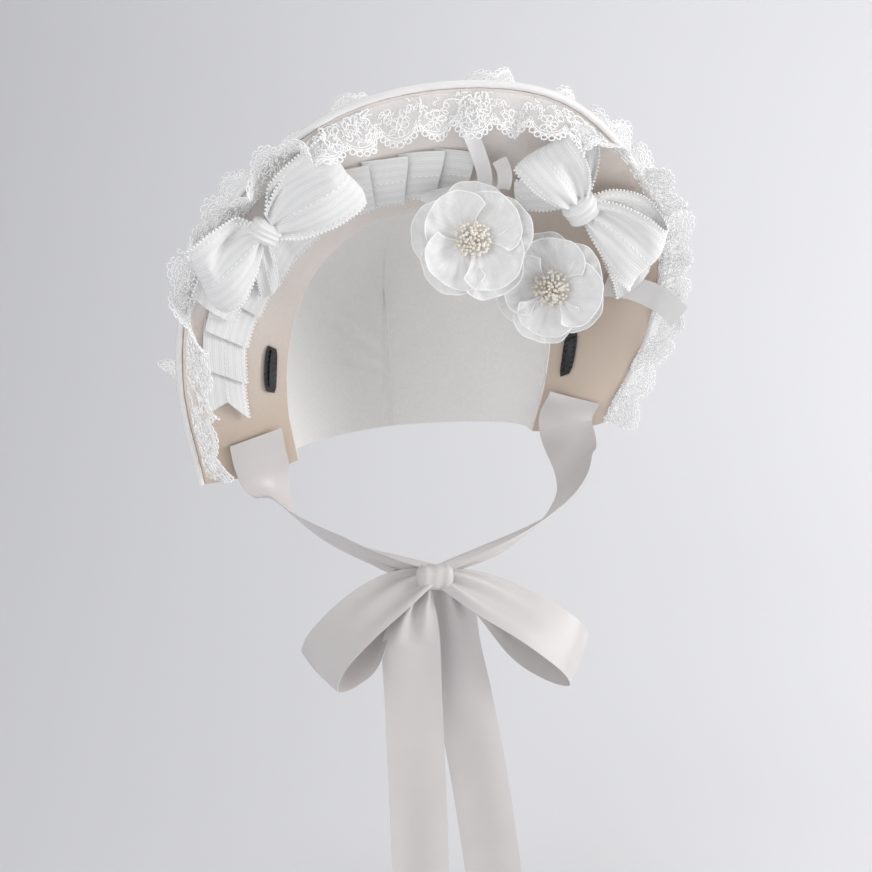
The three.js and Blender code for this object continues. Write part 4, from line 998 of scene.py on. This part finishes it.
# ------------------------------------------------------------------ stage, light, camera
def build_stage():
    """A pale floor that sweeps up into the wall behind, with painted light: lighter to the right and toward the
    front, darker toward the wall.
    """
    prof = [(-1.6, -0.52), (0.0, -0.52)]
    for k in range(1, 25):
        a = math.pi / 2 * k / 24
        prof.append((1.8 * math.sin(a), -0.52 + 1.8 * (1 - math.cos(a))))
    prof.append((1.8, 3.2))
    xs = np.linspace(-4.5, 4.5, 5)
    V = [(x, y, z) for x in xs for y, z in prof]
    n = len(prof)
    F = [(i * n + j, (i + 1) * n + j, (i + 1) * n + j + 1, i * n + j + 1) for i in range(4) for j in range(n - 1)]
    me = bpy.data.meshes.new("floor")
    me.from_pydata(V, [], F)
    me.polygons.foreach_set("use_smooth", np.ones(len(F), bool))
    o = bpy.data.objects.new("floor", me)
    bpy.context.scene.collection.objects.link(o)
    m, t, b = node_mat("floor_paper", (0.80, 0.80, 0.825), 0.9)
    tc, s = t.nodes.new("ShaderNodeTexCoord"), t.nodes.new("ShaderNodeSeparateXYZ")
    link(t, tc.outputs["Object"], s.inputs[0])
    # painted light across the floor and wall: lighter to the right and toward the front
    painted_light_fac = math_node(t, "ADD", math_node(t, "MULTIPLY", s.outputs["X"], 0.5), math_node(t, "MULTIPLY", noise(t, 3, 2), 0.04))
    painted_light_fac = math_node(t, "ADD", painted_light_fac, math_node(t, "MULTIPLY", s.outputs["Y"], -0.26))
    link(t, ramp(t, math_node(t, "ADD", painted_light_fac, 0.65), (0.49, 0.49, 0.503), (0.925, 0.925, 0.942), 0.0, 1.0), b.inputs["Base Color"])
    o.data.materials.append(m)


def area_light(name, loc, target, size, power, colour=(1, 1, 1)):
    l = bpy.data.lights.new(name, "AREA")
    l.shape, l.size, l.energy, l.color = "DISK", size, power, colour
    o = bpy.data.objects.new(name, l)
    bpy.context.scene.collection.objects.link(o)
    d = np.array(target, float) - np.array(loc, float)
    z = unit(-d)
    x = unit(np.cross((0, 0, 1), z))
    y = np.cross(z, x)
    o.matrix_world = Matrix([[x[0], y[0], z[0], loc[0]], [x[1], y[1], z[1], loc[1]], [x[2], y[2], z[2], loc[2]], [0, 0, 0, 1]])


build_stage()
area_light("key", (2.02, -0.95, 0.3), (0, 0, -0.08), 1.1, 31, (1, 0.99, 0.975))
area_light("fill", (-1.6, -1.6, 0.5), (0, 0, -0.1), 1.6, 16, (0.985, 0.99, 1))
area_light("top", (0.2, 0.4, 1.8), (0, 0.3, -0.3), 1.6, 10)
world = bpy.data.worlds.new("soft")
bpy.context.scene.world = world
world.use_nodes = True
world.node_tree.nodes["Background"].inputs["Color"].default_value = (0.93, 0.94, 0.97, 1)
world.node_tree.nodes["Background"].inputs["Strength"].default_value = 0.47

AZ, EL, ROLL = math.radians(-15), math.radians(10), math.radians(3)
back = np.array([math.sin(AZ) * math.cos(EL), -math.cos(AZ) * math.cos(EL), math.sin(EL)])
right = np.array([math.cos(AZ), math.sin(AZ), 0])
up = np.cross(back, right)
right, up = right * math.cos(ROLL) - up * math.sin(ROLL), up * math.cos(ROLL) + right * math.sin(ROLL)
loc = (np.array([-4, -40, -145.5]) + 1165.8 * back) * MM
cam = bpy.data.cameras.new("camera")
cam.sensor_width, cam.lens, cam.clip_end = 36.0, 18 / math.tan(math.radians(14)), 50
co = bpy.data.objects.new("camera", cam)
co.matrix_world = Matrix([[right[0], up[0], back[0], loc[0]], [right[1], up[1], back[1], loc[1]], [right[2], up[2], back[2], loc[2]], [0, 0, 0, 1]])
bpy.context.scene.collection.objects.link(co)
bpy.context.scene.camera = co
bpy.context.scene.view_settings.view_transform = "Standard"
